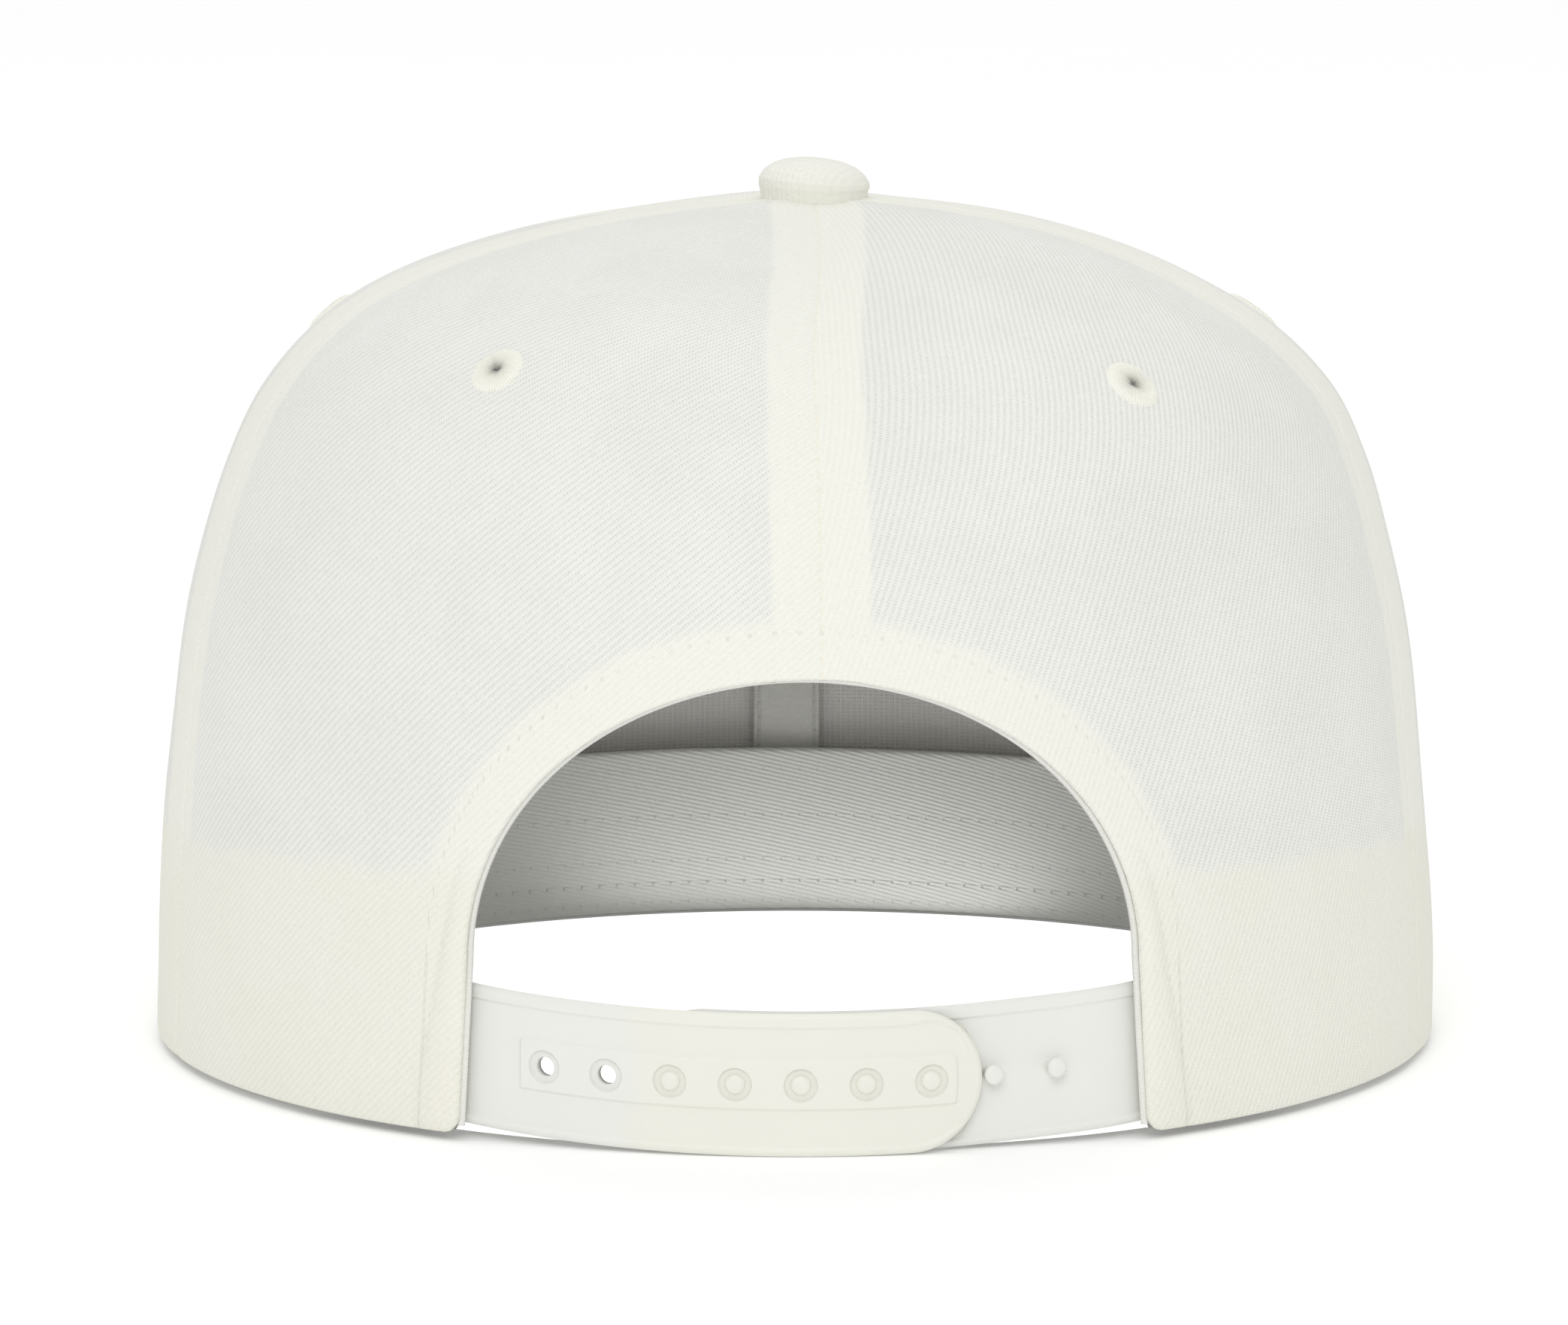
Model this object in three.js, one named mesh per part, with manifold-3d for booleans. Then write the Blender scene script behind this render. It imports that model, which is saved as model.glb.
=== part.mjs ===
// Snapback cap: a six-panel crown with a rear arch opening, a flat peak and a two-part snap strap.
// Millimetres, +Z up. The peak points along -Y, and the origin lies on the resting plane under the
// middle of the whole cap. Azimuths run round the crown from the centre of its rear towards +X.

import * as THREE from 'three';
import * as BufferGeometryUtils from 'three/addons/utils/BufferGeometryUtils.js';
import Module from 'manifold-3d';

const wasm = await Module();
wasm.setup();

// Crown
const HALF_WIDTH = 95;
const REAR_DEPTH = 100;
const FRONT_DEPTH = 100;
const CROWN_HEIGHT = 123.3;
const HEM_HEIGHT = 1.2;
const CLOTH_WALL = 1.2;
const LINING_WALL = 1.0;
const SEWN_GAP = 0.3;
const LAYER_GAP = 0.6;
const TOP_OPENING_RADIUS = 5;

// Rear opening: straight sides that rise from the hem to a half ellipse
const ARCH_HEM_HALF_WIDTH = 48.6;
const ARCH_HALF_WIDTH = 47.2;
const ARCH_SPRING_HEIGHT = 25;
const ARCH_TOP_HEIGHT = 65.3;
const FACING_WIDTH = 7.5;

// Sweatband, seam tapes and front stiffener
const SWEATBAND_HEIGHT = 26.8;
const SWEATBAND_BOTTOM = 0.4;
const LINING_TUCK = 2.5;
const TAPE_END_RADIUS = 21;
const STIFFENER_END_RADIUS = 27;

// Button and eyelets
const BUTTON_RADIUS = 8.2;
const BUTTON_HEIGHT = 5.2;
const BUTTON_STEM_RADIUS = 4.4;
const EYELET_RADIUS = 4.1;
const EYELET_BARREL_RADIUS = 2.1;
const EYELET_HOLE_RADIUS = 0.8;
const EYELET_STAND = 1.1;
const EYELET_ROUND = 0.3;

// Peak
const PEAK_REACH = 70;
const PEAK_SIDE_STAND = 2.12;
const PEAK_THICKNESS = 3;
const PEAK_EDGE_ROUND = 0.8;
const PEAK_SPAN = THREE.MathUtils.degToRad(62);
const PEAK_FULLNESS = 2.4;

// Snap strap; lengths along it are measured from the middle of the rear, positive towards +X
const STRAP_WIDTH = 20;
const STRAP_WALL = 1.4;
const STRAP_BOTTOM = 0.1;
const STRAP_RISE = 2.7;
const STRAP_TUCK = 6.5;
const OUTER_STRAP_TIP = -25.1;
const INNER_STRAP_TIP = 24;
const RAIL_START = 40.8;
const RAIL_END = -21.5;
const RAIL_WIDTH = 6.9;
const RAIL_STAND = 0.35;
const SNAP_PITCH = 9.15;
const FIRST_HOLE = 37.1;
const HOLE_COUNT = 7;
const FIRST_STUD = 2;
const STUD_COUNT = 7;
const HOLE_RADIUS = 1.95;
const STUD_RADIUS = 1.55;

// Crown sections from the hem to the top. Height is a share of the crown's height, left and right
// are shares of the half width, rear and front of their depths. Left is the +X side.
const SECTIONS = [
  { height: 0.000, left: 1.000, right: 1.000, rear: 1.000, front: 1.000 },
  { height: 0.125, left: 0.998, right: 0.997, rear: 0.996, front: 1.000 },
  { height: 0.250, left: 0.987, right: 0.986, rear: 0.986, front: 0.994 },
  { height: 0.375, left: 0.972, right: 0.970, rear: 0.970, front: 0.984 },
  { height: 0.500, left: 0.952, right: 0.949, rear: 0.948, front: 0.967 },
  { height: 0.600, left: 0.922, right: 0.921, rear: 0.920, front: 0.944 },
  { height: 0.690, left: 0.882, right: 0.888, rear: 0.882, front: 0.910 },
  { height: 0.775, left: 0.826, right: 0.836, rear: 0.825, front: 0.856 },
  { height: 0.850, left: 0.741, right: 0.736, rear: 0.738, front: 0.772 },
  { height: 0.905, left: 0.635, right: 0.605, rear: 0.625, front: 0.658 },
  { height: 0.945, left: 0.500, right: 0.468, rear: 0.490, front: 0.517 },
  { height: 0.973, left: 0.342, right: 0.325, rear: 0.338, front: 0.355 },
  { height: 0.992, left: 0.168, right: 0.164, rear: 0.168, front: 0.175 },
  { height: 1.000, left: 0.000, right: 0.000, rear: 0.000, front: 0.000 },
];

// Seams between the panels: azimuth in degrees at the hem and at the top, and the tape's width.
const SEAMS = {
  centre_back: { hem: 0, top: 0, tape: 14.8 },
  left_rear: { hem: 73, top: 82, tape: 13 },
  left_front: { hem: 124, top: 126, tape: 13 },
  centre_front: { hem: 180, top: 180, tape: 11.6 },
  right_front: { hem: 236, top: 234, tape: 13 },
  right_rear: { hem: 287, top: 278, tape: 13 },
};

// Panels: the seams on both sides and the eyelet's place, as a share across and a share of height.
const PANELS = [
  { name: 'panel_rear_left', from: 'centre_back', to: 'left_rear', across: 0.495, height: 0.846 },
  { name: 'panel_side_left', from: 'left_rear', to: 'left_front', across: 0.5, height: 0.85 },
  { name: 'panel_front_left', from: 'left_front', to: 'centre_front', across: 0.45, height: 0.86 },
  { name: 'panel_front_right', from: 'centre_front', to: 'right_front', across: 0.55, height: 0.86 },
  { name: 'panel_side_right', from: 'right_front', to: 'right_rear', across: 0.5, height: 0.85 },
  { name: 'panel_rear_right', from: 'right_rear', to: 'centre_back', across: 0.489, height: 0.828 },
];

const MATERIALS = {
  twill: { color: 0xebeae1, roughness: 0.88, metalness: 0 },
  lining: { color: 0xe4e2d8, roughness: 0.92, metalness: 0 },
  stiffener: { color: 0xd9d7cd, roughness: 0.95, metalness: 0 },
  thread: { color: 0xefeee6, roughness: 0.75, metalness: 0 },
  plastic: { color: 0xe9e9de, roughness: 0.42, metalness: 0 },
};

const cap = new THREE.Group();
const degrees = THREE.MathUtils.degToRad;
const lerp = THREE.MathUtils.lerp;
const smoothstep = THREE.MathUtils.smoothstep;

function addPiece(name, geometry, material) {
  const mesh = new THREE.Mesh(geometry, new THREE.MeshStandardMaterial(MATERIALS[material]));
  mesh.name = name;
  cap.add(mesh);
  return mesh;
}

// Crown surface

// Catmull-Rom value of one section column at a level, 0 at the hem and 1 at the top. Past the top
// the reach runs on through zero to the other side, and the height comes down again.
function columnAt(column, level) {
  const last = SECTIONS.length - 1;
  const place = THREE.MathUtils.clamp(level, 0, 1) * last;
  const row = Math.min(Math.floor(place), last - 1);
  const rest = place - row;
  const value = (index) => {
    if (index < 0) {
      return 2 * SECTIONS[0][column] - SECTIONS[1][column];
    }
    if (index > last) {
      const mirrored = SECTIONS[2 * last - index][column];
      return column === 'height' ? mirrored : -mirrored;
    }
    return SECTIONS[index][column];
  };
  const before = value(row - 1);
  const start = value(row);
  const end = value(row + 1);
  const after = value(row + 2);
  const slope = end - before;
  const bend = 2 * before - 5 * start + 4 * end - after;
  const twist = 3 * (start - end) + after - before;
  return start + 0.5 * rest * (slope + rest * (bend + rest * twist));
}

// Level at which a rising or falling quantity passes a value, found by halving.
function levelWhere(isBelow) {
  let low = 0;
  let high = 1;
  for (let step = 0; step < 40; step += 1) {
    const middle = (low + high) / 2;
    if (isBelow(middle)) {
      low = middle;
    } else {
      high = middle;
    }
  }
  return (low + high) / 2;
}

const levelAtHeight = (height) => levelWhere((level) => CROWN_HEIGHT * columnAt('height', level) < height);
const levelAtRadius = (radius) => levelWhere((level) => HALF_WIDTH * columnAt('left', level) > radius);

// Point of the crown's outer skin: each section is made of four quarter ellipses.
function skinPoint(azimuth, level) {
  const across = Math.sin(azimuth);
  const along = Math.cos(azimuth);
  const side = HALF_WIDTH * columnAt(across > 0 ? 'left' : 'right', level);
  const depth = along > 0 ? REAR_DEPTH * columnAt('rear', level) : FRONT_DEPTH * columnAt('front', level);
  const height = HEM_HEIGHT + CROWN_HEIGHT * columnAt('height', level);
  return new THREE.Vector3(side * across, depth * along, height);
}

function skinNormal(azimuth, level) {
  const step = 1e-3;
  const round = skinPoint(azimuth + step, level).sub(skinPoint(azimuth - step, level));
  const upward = skinPoint(azimuth, level + step).sub(skinPoint(azimuth, level - step));
  return upward.cross(round).normalize();
}

const crownPoint = (azimuth, level, inset) =>
  skinPoint(azimuth, level).addScaledVector(skinNormal(azimuth, level), -inset);

// Point of the wall low down, by its height over the hem.
const wallPoint = (azimuth, height, inset) => {
  const point = crownPoint(azimuth, levelAtHeight(Math.max(height, 0)), inset);
  point.z = HEM_HEIGHT + height;
  return point;
};

const seamAzimuth = (seam, level) => degrees(lerp(SEAMS[seam].hem, SEAMS[seam].top, level * level));

// Azimuth at a distance from a seam, measured on the skin at a level.
function besideSeam(seam, level, distance) {
  const azimuth = seamAzimuth(seam, level);
  const point = skinPoint(azimuth, level);
  return azimuth + distance / Math.hypot(point.x, point.y);
}

// Solids

// Closed wall between an outer and an inner skin. pointAt(u, v, depth) gives a point, with u and v
// from 0 to 1 and depth 0 on the outer skin and 1 on the inner one. Seen from outside, u runs to
// the left and v upward.
function wallGeometry(columns, rows, pointAt) {
  const positions = [];
  const index = [];
  const stride = columns + 1;
  const layer = stride * (rows + 1);
  for (const depth of [0, 1]) {
    for (let row = 0; row <= rows; row += 1) {
      for (let column = 0; column <= columns; column += 1) {
        positions.push(...pointAt(column / columns, row / rows, depth).toArray());
      }
    }
  }
  const quad = (a, b, c, d) => index.push(a, b, c, a, c, d);
  for (let row = 0; row < rows; row += 1) {
    for (let column = 0; column < columns; column += 1) {
      const corner = row * stride + column;
      const ring = [corner, corner + stride, corner + stride + 1, corner + 1];
      quad(...ring);
      quad(...ring.map((place) => place + layer).reverse());
    }
  }
  const border = [];
  for (let column = 0; column < columns; column += 1) {
    border.push(column);
  }
  for (let row = 0; row < rows; row += 1) {
    border.push(row * stride + columns);
  }
  for (let column = columns; column > 0; column -= 1) {
    border.push(rows * stride + column);
  }
  for (let row = rows; row > 0; row -= 1) {
    border.push(row * stride);
  }
  border.forEach((place, order) => {
    const next = border[(order + 1) % border.length];
    quad(place, next, next + layer, place + layer);
  });
  const geometry = new THREE.BufferGeometry();
  geometry.setAttribute('position', new THREE.Float32BufferAttribute(positions, 3));
  geometry.setIndex(index);
  return geometry;
}

function toSolid(geometry) {
  const bare = geometry.clone();
  bare.deleteAttribute('normal');
  bare.deleteAttribute('uv');
  const merged = BufferGeometryUtils.mergeVertices(bare, 1e-4);
  return new wasm.Manifold(new wasm.Mesh({
    numProp: 3,
    vertProperties: new Float32Array(merged.getAttribute('position').array),
    triVerts: new Uint32Array(merged.index.array),
  }));
}

function toGeometry(solid) {
  const mesh = solid.getMesh();
  const geometry = new THREE.BufferGeometry();
  geometry.setAttribute('position', new THREE.BufferAttribute(mesh.vertProperties, 3));
  geometry.setIndex(new THREE.BufferAttribute(mesh.triVerts, 1));
  return geometry;
}

// Geometry modelled round +Y, stood on a point so that +Y runs along a direction.
function standOn(geometry, point, direction) {
  const turn = new THREE.Quaternion().setFromUnitVectors(new THREE.Vector3(0, 1, 0), direction);
  return geometry.applyQuaternion(turn).translate(point.x, point.y, point.z);
}

// Prism of the arch outline grown by a margin, running back from the crown's middle.
function archPrism(margin) {
  const foot = -ARCH_SPRING_HEIGHT;
  const spring = HEM_HEIGHT + ARCH_SPRING_HEIGHT;
  const flare = (ARCH_HEM_HALF_WIDTH - ARCH_HALF_WIDTH) / ARCH_SPRING_HEIGHT;
  const footHalfWidth = ARCH_HALF_WIDTH + flare * (spring - foot) + margin;
  const half = ARCH_HALF_WIDTH + margin;
  const rise = ARCH_TOP_HEIGHT - ARCH_SPRING_HEIGHT + margin;
  const outline = new THREE.Shape();
  outline.moveTo(-footHalfWidth, foot);
  outline.lineTo(footHalfWidth, foot);
  outline.lineTo(half, spring);
  outline.absellipse(0, spring, half, rise, 0, Math.PI, false, 0);
  outline.lineTo(-footHalfWidth, foot);
  const length = 1.5 * REAR_DEPTH;
  const prism = new THREE.ExtrudeGeometry(outline, { depth: length, bevelEnabled: false, curveSegments: 20 });
  return toSolid(prism.rotateX(Math.PI / 2).translate(0, length, 0));
}

// Peak outline: a full front edge between the two corners and back along the crown's hem.
function peakOutline(inset) {
  const corner = skinPoint(Math.PI - PEAK_SPAN, 0);
  const length = FRONT_DEPTH + PEAK_REACH + corner.y;
  const halfWidth = corner.x + PEAK_SIDE_STAND;
  const outline = new THREE.Shape();
  const frontSteps = 36;
  for (let step = 0; step <= frontSteps; step += 1) {
    const turn = (Math.PI * step) / frontSteps;
    const across = Math.sign(Math.cos(turn)) * Math.abs(Math.cos(turn)) ** (2 / PEAK_FULLNESS);
    const along = Math.sin(turn) ** (2 / PEAK_FULLNESS);
    const point = new THREE.Vector2(halfWidth * across, corner.y - length * along);
    if (step === 0) {
      outline.moveTo(point.x, point.y);
    } else {
      outline.lineTo(point.x, point.y);
    }
  }
  const hemSteps = 16;
  for (let step = 0; step <= hemSteps; step += 1) {
    const azimuth = Math.PI + PEAK_SPAN * (1 - (2 * step) / hemSteps);
    const point = crownPoint(azimuth, 0, inset);
    outline.lineTo(point.x, point.y);
  }
  outline.closePath();
  return outline;
}

// Panels

const PANEL_ROWS = 20;
const panelTop = levelAtRadius(TOP_OPENING_RADIUS);

// Level of the panels' nearest row, so that the layers inside bend where the panels do.
const rowLevel = (level) => (panelTop * Math.round((level / panelTop) * PANEL_ROWS)) / PANEL_ROWS;
const rowsBetween = (bottom, top) => Math.max(Math.round(((top - bottom) / panelTop) * PANEL_ROWS), 1);

function panelPoint(panel, across, level, depth) {
  const from = besideSeam(panel.from, level, SEWN_GAP / 2);
  const to = besideSeam(panel.to, level, -SEWN_GAP / 2);
  const azimuth = to > from ? lerp(from, to, across) : lerp(from, to + 2 * Math.PI, across);
  return crownPoint(azimuth, level, depth * CLOTH_WALL);
}

function eyeletSeat(panel) {
  const level = levelAtHeight(panel.height * CROWN_HEIGHT);
  const from = seamAzimuth(panel.from, level);
  const to = seamAzimuth(panel.to, level);
  const azimuth = lerp(from, to > from ? to : to + 2 * Math.PI, panel.across);
  return { point: skinPoint(azimuth, level), normal: skinNormal(azimuth, level) };
}

const archOpening = archPrism(0);
const clearOfPeak = toSolid(
  new THREE.ExtrudeGeometry(peakOutline(CLOTH_WALL + SEWN_GAP), {
    depth: PEAK_THICKNESS + 2 * SEWN_GAP,
    bevelEnabled: false,
  }).translate(0, 0, -SEWN_GAP),
);

function panelSolid(panel) {
  const wall = wallGeometry(7, PANEL_ROWS, (across, share, depth) =>
    panelPoint(panel, across, share * panelTop, depth));
  const seat = eyeletSeat(panel);
  const drill = new THREE.CylinderGeometry(
    EYELET_BARREL_RADIUS + SEWN_GAP,
    EYELET_BARREL_RADIUS + SEWN_GAP,
    6 * CLOTH_WALL,
    10,
  );
  return toSolid(wall)
    .subtract(archOpening)
    .subtract(clearOfPeak)
    .subtract(toSolid(standOn(drill, seat.point, seat.normal)));
}

// Embroidered ring on a short barrel through the panel.
function eyeletGeometry() {
  const crest = EYELET_STAND;
  const profile = [
    [EYELET_HOLE_RADIUS, -CLOTH_WALL],
    [EYELET_BARREL_RADIUS, -CLOTH_WALL],
    [EYELET_BARREL_RADIUS, SEWN_GAP],
    [EYELET_RADIUS, SEWN_GAP],
    [EYELET_RADIUS - EYELET_ROUND, 0.75 * crest],
    [0.6 * EYELET_RADIUS, crest],
    [EYELET_HOLE_RADIUS, 0.6 * crest],
    [EYELET_HOLE_RADIUS, -CLOTH_WALL],
  ];
  return new THREE.LatheGeometry(profile.map(([radius, height]) => new THREE.Vector2(radius, height)), 10);
}

for (const panel of PANELS) {
  addPiece(panel.name, toGeometry(panelSolid(panel)), 'twill');
  const seat = eyeletSeat(panel);
  addPiece(panel.name.replace('panel', 'eyelet'), standOn(eyeletGeometry(), seat.point, seat.normal), 'thread');
}

// Covered button on a stem through the top opening.
function buttonGeometry() {
  const profile = [
    [0, -CLOTH_WALL],
    [BUTTON_STEM_RADIUS, -CLOTH_WALL],
    [BUTTON_STEM_RADIUS, SEWN_GAP],
    [0.93 * BUTTON_RADIUS, SEWN_GAP],
    [BUTTON_RADIUS, 0.35 * BUTTON_HEIGHT],
    [0.96 * BUTTON_RADIUS, 0.6 * BUTTON_HEIGHT],
    [0.8 * BUTTON_RADIUS, 0.85 * BUTTON_HEIGHT],
    [0.45 * BUTTON_RADIUS, 0.97 * BUTTON_HEIGHT],
    [0, BUTTON_HEIGHT],
  ];
  return new THREE.LatheGeometry(profile.map(([radius, height]) => new THREE.Vector2(radius, height)), 16);
}

const crownTop = new THREE.Vector3(0, 0, HEM_HEIGHT + CROWN_HEIGHT);
addPiece('button', standOn(buttonGeometry(), crownTop, new THREE.Vector3(0, 0, 1)), 'twill');

// Inside of the crown: seam tapes, stiffener, arch facing and sweatband

const liningOuter = CLOTH_WALL + LAYER_GAP;
const layerStep = LINING_WALL + LAYER_GAP;
const liningBottom = rowLevel(levelAtHeight(SWEATBAND_BOTTOM - HEM_HEIGHT + SWEATBAND_HEIGHT - LINING_TUCK));
const tapeTop = rowLevel(levelAtRadius(TAPE_END_RADIUS));

function tapeGeometry(seam) {
  const half = SEAMS[seam].tape / 2;
  const outer = seam === 'centre_front' ? liningOuter + layerStep : liningOuter;
  const aboveArch = rowLevel(levelAtHeight(ARCH_TOP_HEIGHT + FACING_WIDTH) + 0.5 / PANEL_ROWS);
  const bottom = seam === 'centre_back' ? aboveArch : liningBottom;
  return wallGeometry(2, rowsBetween(bottom, tapeTop), (across, share, depth) => {
    const level = lerp(bottom, tapeTop, share);
    return crownPoint(besideSeam(seam, level, lerp(-half, half, across)), level, outer + depth * LINING_WALL);
  });
}

for (const seam of Object.keys(SEAMS)) {
  addPiece(`tape_${seam}`, tapeGeometry(seam), 'lining');
}

function stiffenerGeometry(from, to) {
  const top = rowLevel(levelAtRadius(STIFFENER_END_RADIUS));
  const fromMargin = from === 'centre_front' ? SEWN_GAP / 2 : SEAMS[from].tape / 2 + SEWN_GAP;
  const toMargin = to === 'centre_front' ? SEWN_GAP / 2 : SEAMS[to].tape / 2 + SEWN_GAP;
  return wallGeometry(5, rowsBetween(liningBottom, top), (across, share, depth) => {
    const level = lerp(liningBottom, top, share);
    const azimuth = lerp(besideSeam(from, level, fromMargin), besideSeam(to, level, -toMargin), across);
    return crownPoint(azimuth, level, liningOuter + depth * LINING_WALL);
  });
}

addPiece('stiffener_left', stiffenerGeometry('left_front', 'centre_front'), 'stiffener');
addPiece('stiffener_right', stiffenerGeometry('centre_front', 'right_front'), 'stiffener');

// Facing: a strip behind the edge of the arch, cut from a skin inside the rear panels.
function facingSolid() {
  const span = Math.asin((ARCH_HEM_HALF_WIDTH + 2 * FACING_WIDTH) / HALF_WIDTH);
  const top = rowLevel(levelAtHeight(ARCH_TOP_HEIGHT + 2 * FACING_WIDTH));
  const skin = wallGeometry(10, rowsBetween(0, top), (across, share, depth) =>
    crownPoint(lerp(-span, span, across), share * top, liningOuter + depth * LINING_WALL));
  return toSolid(skin).intersect(archPrism(FACING_WIDTH)).subtract(archOpening);
}

addPiece('arch_facing', toGeometry(facingSolid()), 'lining');

// Sweatband: it starts and ends at the sides of the arch, where it lies inside the facing and the
// strap's ends, and it leans in so that the tapes and the stiffener run down behind its top edge.
const archAzimuth = Math.asin(ARCH_HEM_HALF_WIDTH / HALF_WIDTH);
const strapEndAzimuth = Math.asin((ARCH_HEM_HALF_WIDTH + FACING_WIDTH + STRAP_TUCK / 2) / HALF_WIDTH);
const endTuck = LINING_WALL + STRAP_WALL + 2 * LAYER_GAP;
const bandLean = (2 * layerStep * SWEATBAND_HEIGHT) / (SWEATBAND_HEIGHT - LINING_TUCK);

function sweatbandGeometry() {
  const end = Math.asin(ARCH_HEM_HALF_WIDTH / (HALF_WIDTH - liningOuter - endTuck - CLOTH_WALL));
  return wallGeometry(54, 2, (across, share, depth) => {
    const azimuth = lerp(end, 2 * Math.PI - end, across);
    const fromRear = Math.min(azimuth, 2 * Math.PI - azimuth);
    const tuck = endTuck * (1 - smoothstep(fromRear, strapEndAzimuth, 1.4 * strapEndAzimuth));
    const lean = bandLean * share * (1 - tuck / (2 * endTuck));
    const inset = liningOuter + tuck + lean + depth * CLOTH_WALL;
    return wallPoint(azimuth, SWEATBAND_BOTTOM - HEM_HEIGHT + share * SWEATBAND_HEIGHT, inset);
  });
}

addPiece('sweatband', sweatbandGeometry(), 'lining');

// Peak: a flat board under the front panels, out to the sweatband's outer face.
function peakGeometry() {
  const board = new THREE.ExtrudeGeometry(peakOutline(CLOTH_WALL), {
    depth: PEAK_THICKNESS - 2 * PEAK_EDGE_ROUND,
    bevelThickness: PEAK_EDGE_ROUND,
    bevelSize: PEAK_EDGE_ROUND,
    bevelOffset: -PEAK_EDGE_ROUND,
    bevelSegments: 2,
  });
  return board.translate(0, 0, PEAK_EDGE_ROUND);
}

addPiece('peak', peakGeometry(), 'twill');

// Snap strap

const strapInset = liningOuter + layerStep;
const strapRadius = HALF_WIDTH - strapInset;
const strapEnd = strapRadius * archAzimuth + STRAP_TUCK;
const behindOuterStrap = STRAP_WALL + LAYER_GAP;

// Point on the strap: length along it, share of its width from the lower edge, and inset.
function strapPoint(length, share, inset) {
  const bottom = STRAP_BOTTOM + STRAP_RISE * (length / strapEnd) ** 2;
  return wallPoint(length / strapRadius, bottom + share * STRAP_WIDTH - HEM_HEIGHT, inset);
}

function strapNormal(length) {
  return skinNormal(length / strapRadius, 0).setZ(0).normalize();
}

// The inner part runs behind the outer one and comes out to its depth past the outer part's tip.
function innerInset(length) {
  const past = smoothstep(OUTER_STRAP_TIP - length, 2, strapEnd + OUTER_STRAP_TIP - STRAP_TUCK);
  return strapInset + behindOuterStrap * (1 - past);
}

// Band with one round end: from its sewn end to its tip, with the width closing in an arc.
function bandGeometry(sewnEnd, tip, width, insetAt, wall) {
  const radius = width / 2;
  const toTip = Math.sign(tip - sewnEnd);
  const roundStart = tip - toTip * radius;
  const straightSteps = 12;
  const roundSteps = 5;
  const steps = straightSteps + roundSteps;
  const reverse = toTip > 0 ? 0 : 1;
  return wallGeometry(steps, 2, (along, share, depth) => {
    const step = Math.round(Math.abs(reverse - along) * steps);
    const turn = (0.92 * (Math.PI / 2) * Math.max(step - straightSteps, 0)) / roundSteps;
    const straight = lerp(sewnEnd, roundStart, Math.min(step / straightSteps, 1));
    const length = straight + toTip * radius * Math.sin(turn);
    const halfShare = (radius / STRAP_WIDTH) * Math.cos(turn);
    return strapPoint(length, 0.5 + halfShare * (2 * share - 1), insetAt(length) + depth * wall);
  });
}

function pinSolid(length, radius, headInset, rootInset) {
  const head = strapPoint(length, 0.5, headInset);
  const height = rootInset - headInset;
  const pin = new THREE.CylinderGeometry(radius, radius, height, 10);
  const normal = strapNormal(length);
  return toSolid(standOn(pin, head.addScaledVector(normal, -height / 2), normal));
}

function outerStrapSolid() {
  let strap = toSolid(bandGeometry(strapEnd, OUTER_STRAP_TIP, STRAP_WIDTH, () => strapInset, STRAP_WALL));
  const rail = bandGeometry(RAIL_START, RAIL_END, RAIL_WIDTH, () => strapInset - RAIL_STAND, STRAP_WALL);
  strap = strap.add(toSolid(rail));
  for (let hole = 0; hole < HOLE_COUNT; hole += 1) {
    const length = FIRST_HOLE - hole * SNAP_PITCH;
    const cut = pinSolid(length, HOLE_RADIUS, strapInset - 4 * RAIL_STAND, strapInset + 2 * STRAP_WALL);
    strap = strap.subtract(cut);
  }
  return strap;
}

function innerStrapSolid() {
  let strap = toSolid(bandGeometry(-strapEnd, INNER_STRAP_TIP, STRAP_WIDTH, innerInset, STRAP_WALL));
  for (let stud = 0; stud < STUD_COUNT; stud += 1) {
    const length = FIRST_HOLE - (FIRST_STUD + stud) * SNAP_PITCH;
    const face = innerInset(length);
    const head = face - behindOuterStrap - RAIL_STAND;
    strap = strap.add(pinSolid(length, STUD_RADIUS, head, face + STRAP_WALL / 2));
  }
  return strap;
}

addPiece('strap_outer', toGeometry(outerStrapSolid()), 'plastic');
addPiece('strap_inner', toGeometry(innerStrapSolid()), 'plastic');

// The rail on the strap is the rearmost face of the whole cap.
const rearmost = REAR_DEPTH - strapInset + RAIL_STAND;
cap.position.y = (FRONT_DEPTH + PEAK_REACH - rearmost) / 2;

export default cap;
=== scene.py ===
"""Snapback cap in ivory twill, seen from behind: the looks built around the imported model."""

import math

import bpy
import numpy as np
from bpy.props import FloatProperty, FloatVectorProperty, IntProperty, PointerProperty
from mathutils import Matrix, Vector


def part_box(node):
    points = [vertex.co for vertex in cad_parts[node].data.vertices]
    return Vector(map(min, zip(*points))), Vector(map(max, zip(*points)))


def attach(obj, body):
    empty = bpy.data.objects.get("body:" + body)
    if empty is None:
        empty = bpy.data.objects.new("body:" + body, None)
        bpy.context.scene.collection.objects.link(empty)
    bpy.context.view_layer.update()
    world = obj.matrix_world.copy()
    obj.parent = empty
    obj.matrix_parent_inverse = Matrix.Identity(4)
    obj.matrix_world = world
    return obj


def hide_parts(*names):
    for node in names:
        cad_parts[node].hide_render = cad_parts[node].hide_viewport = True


bl_info = {
    "name": "Snapback Cap",
    "version": (1, 0, 0),
    "blender": (4, 5, 0),
    "location": "View3D > Sidebar > Cap",
    "description": "Builds the cloth, lining, strap and stage of a snapback cap",
    "category": "Object",
}

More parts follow.
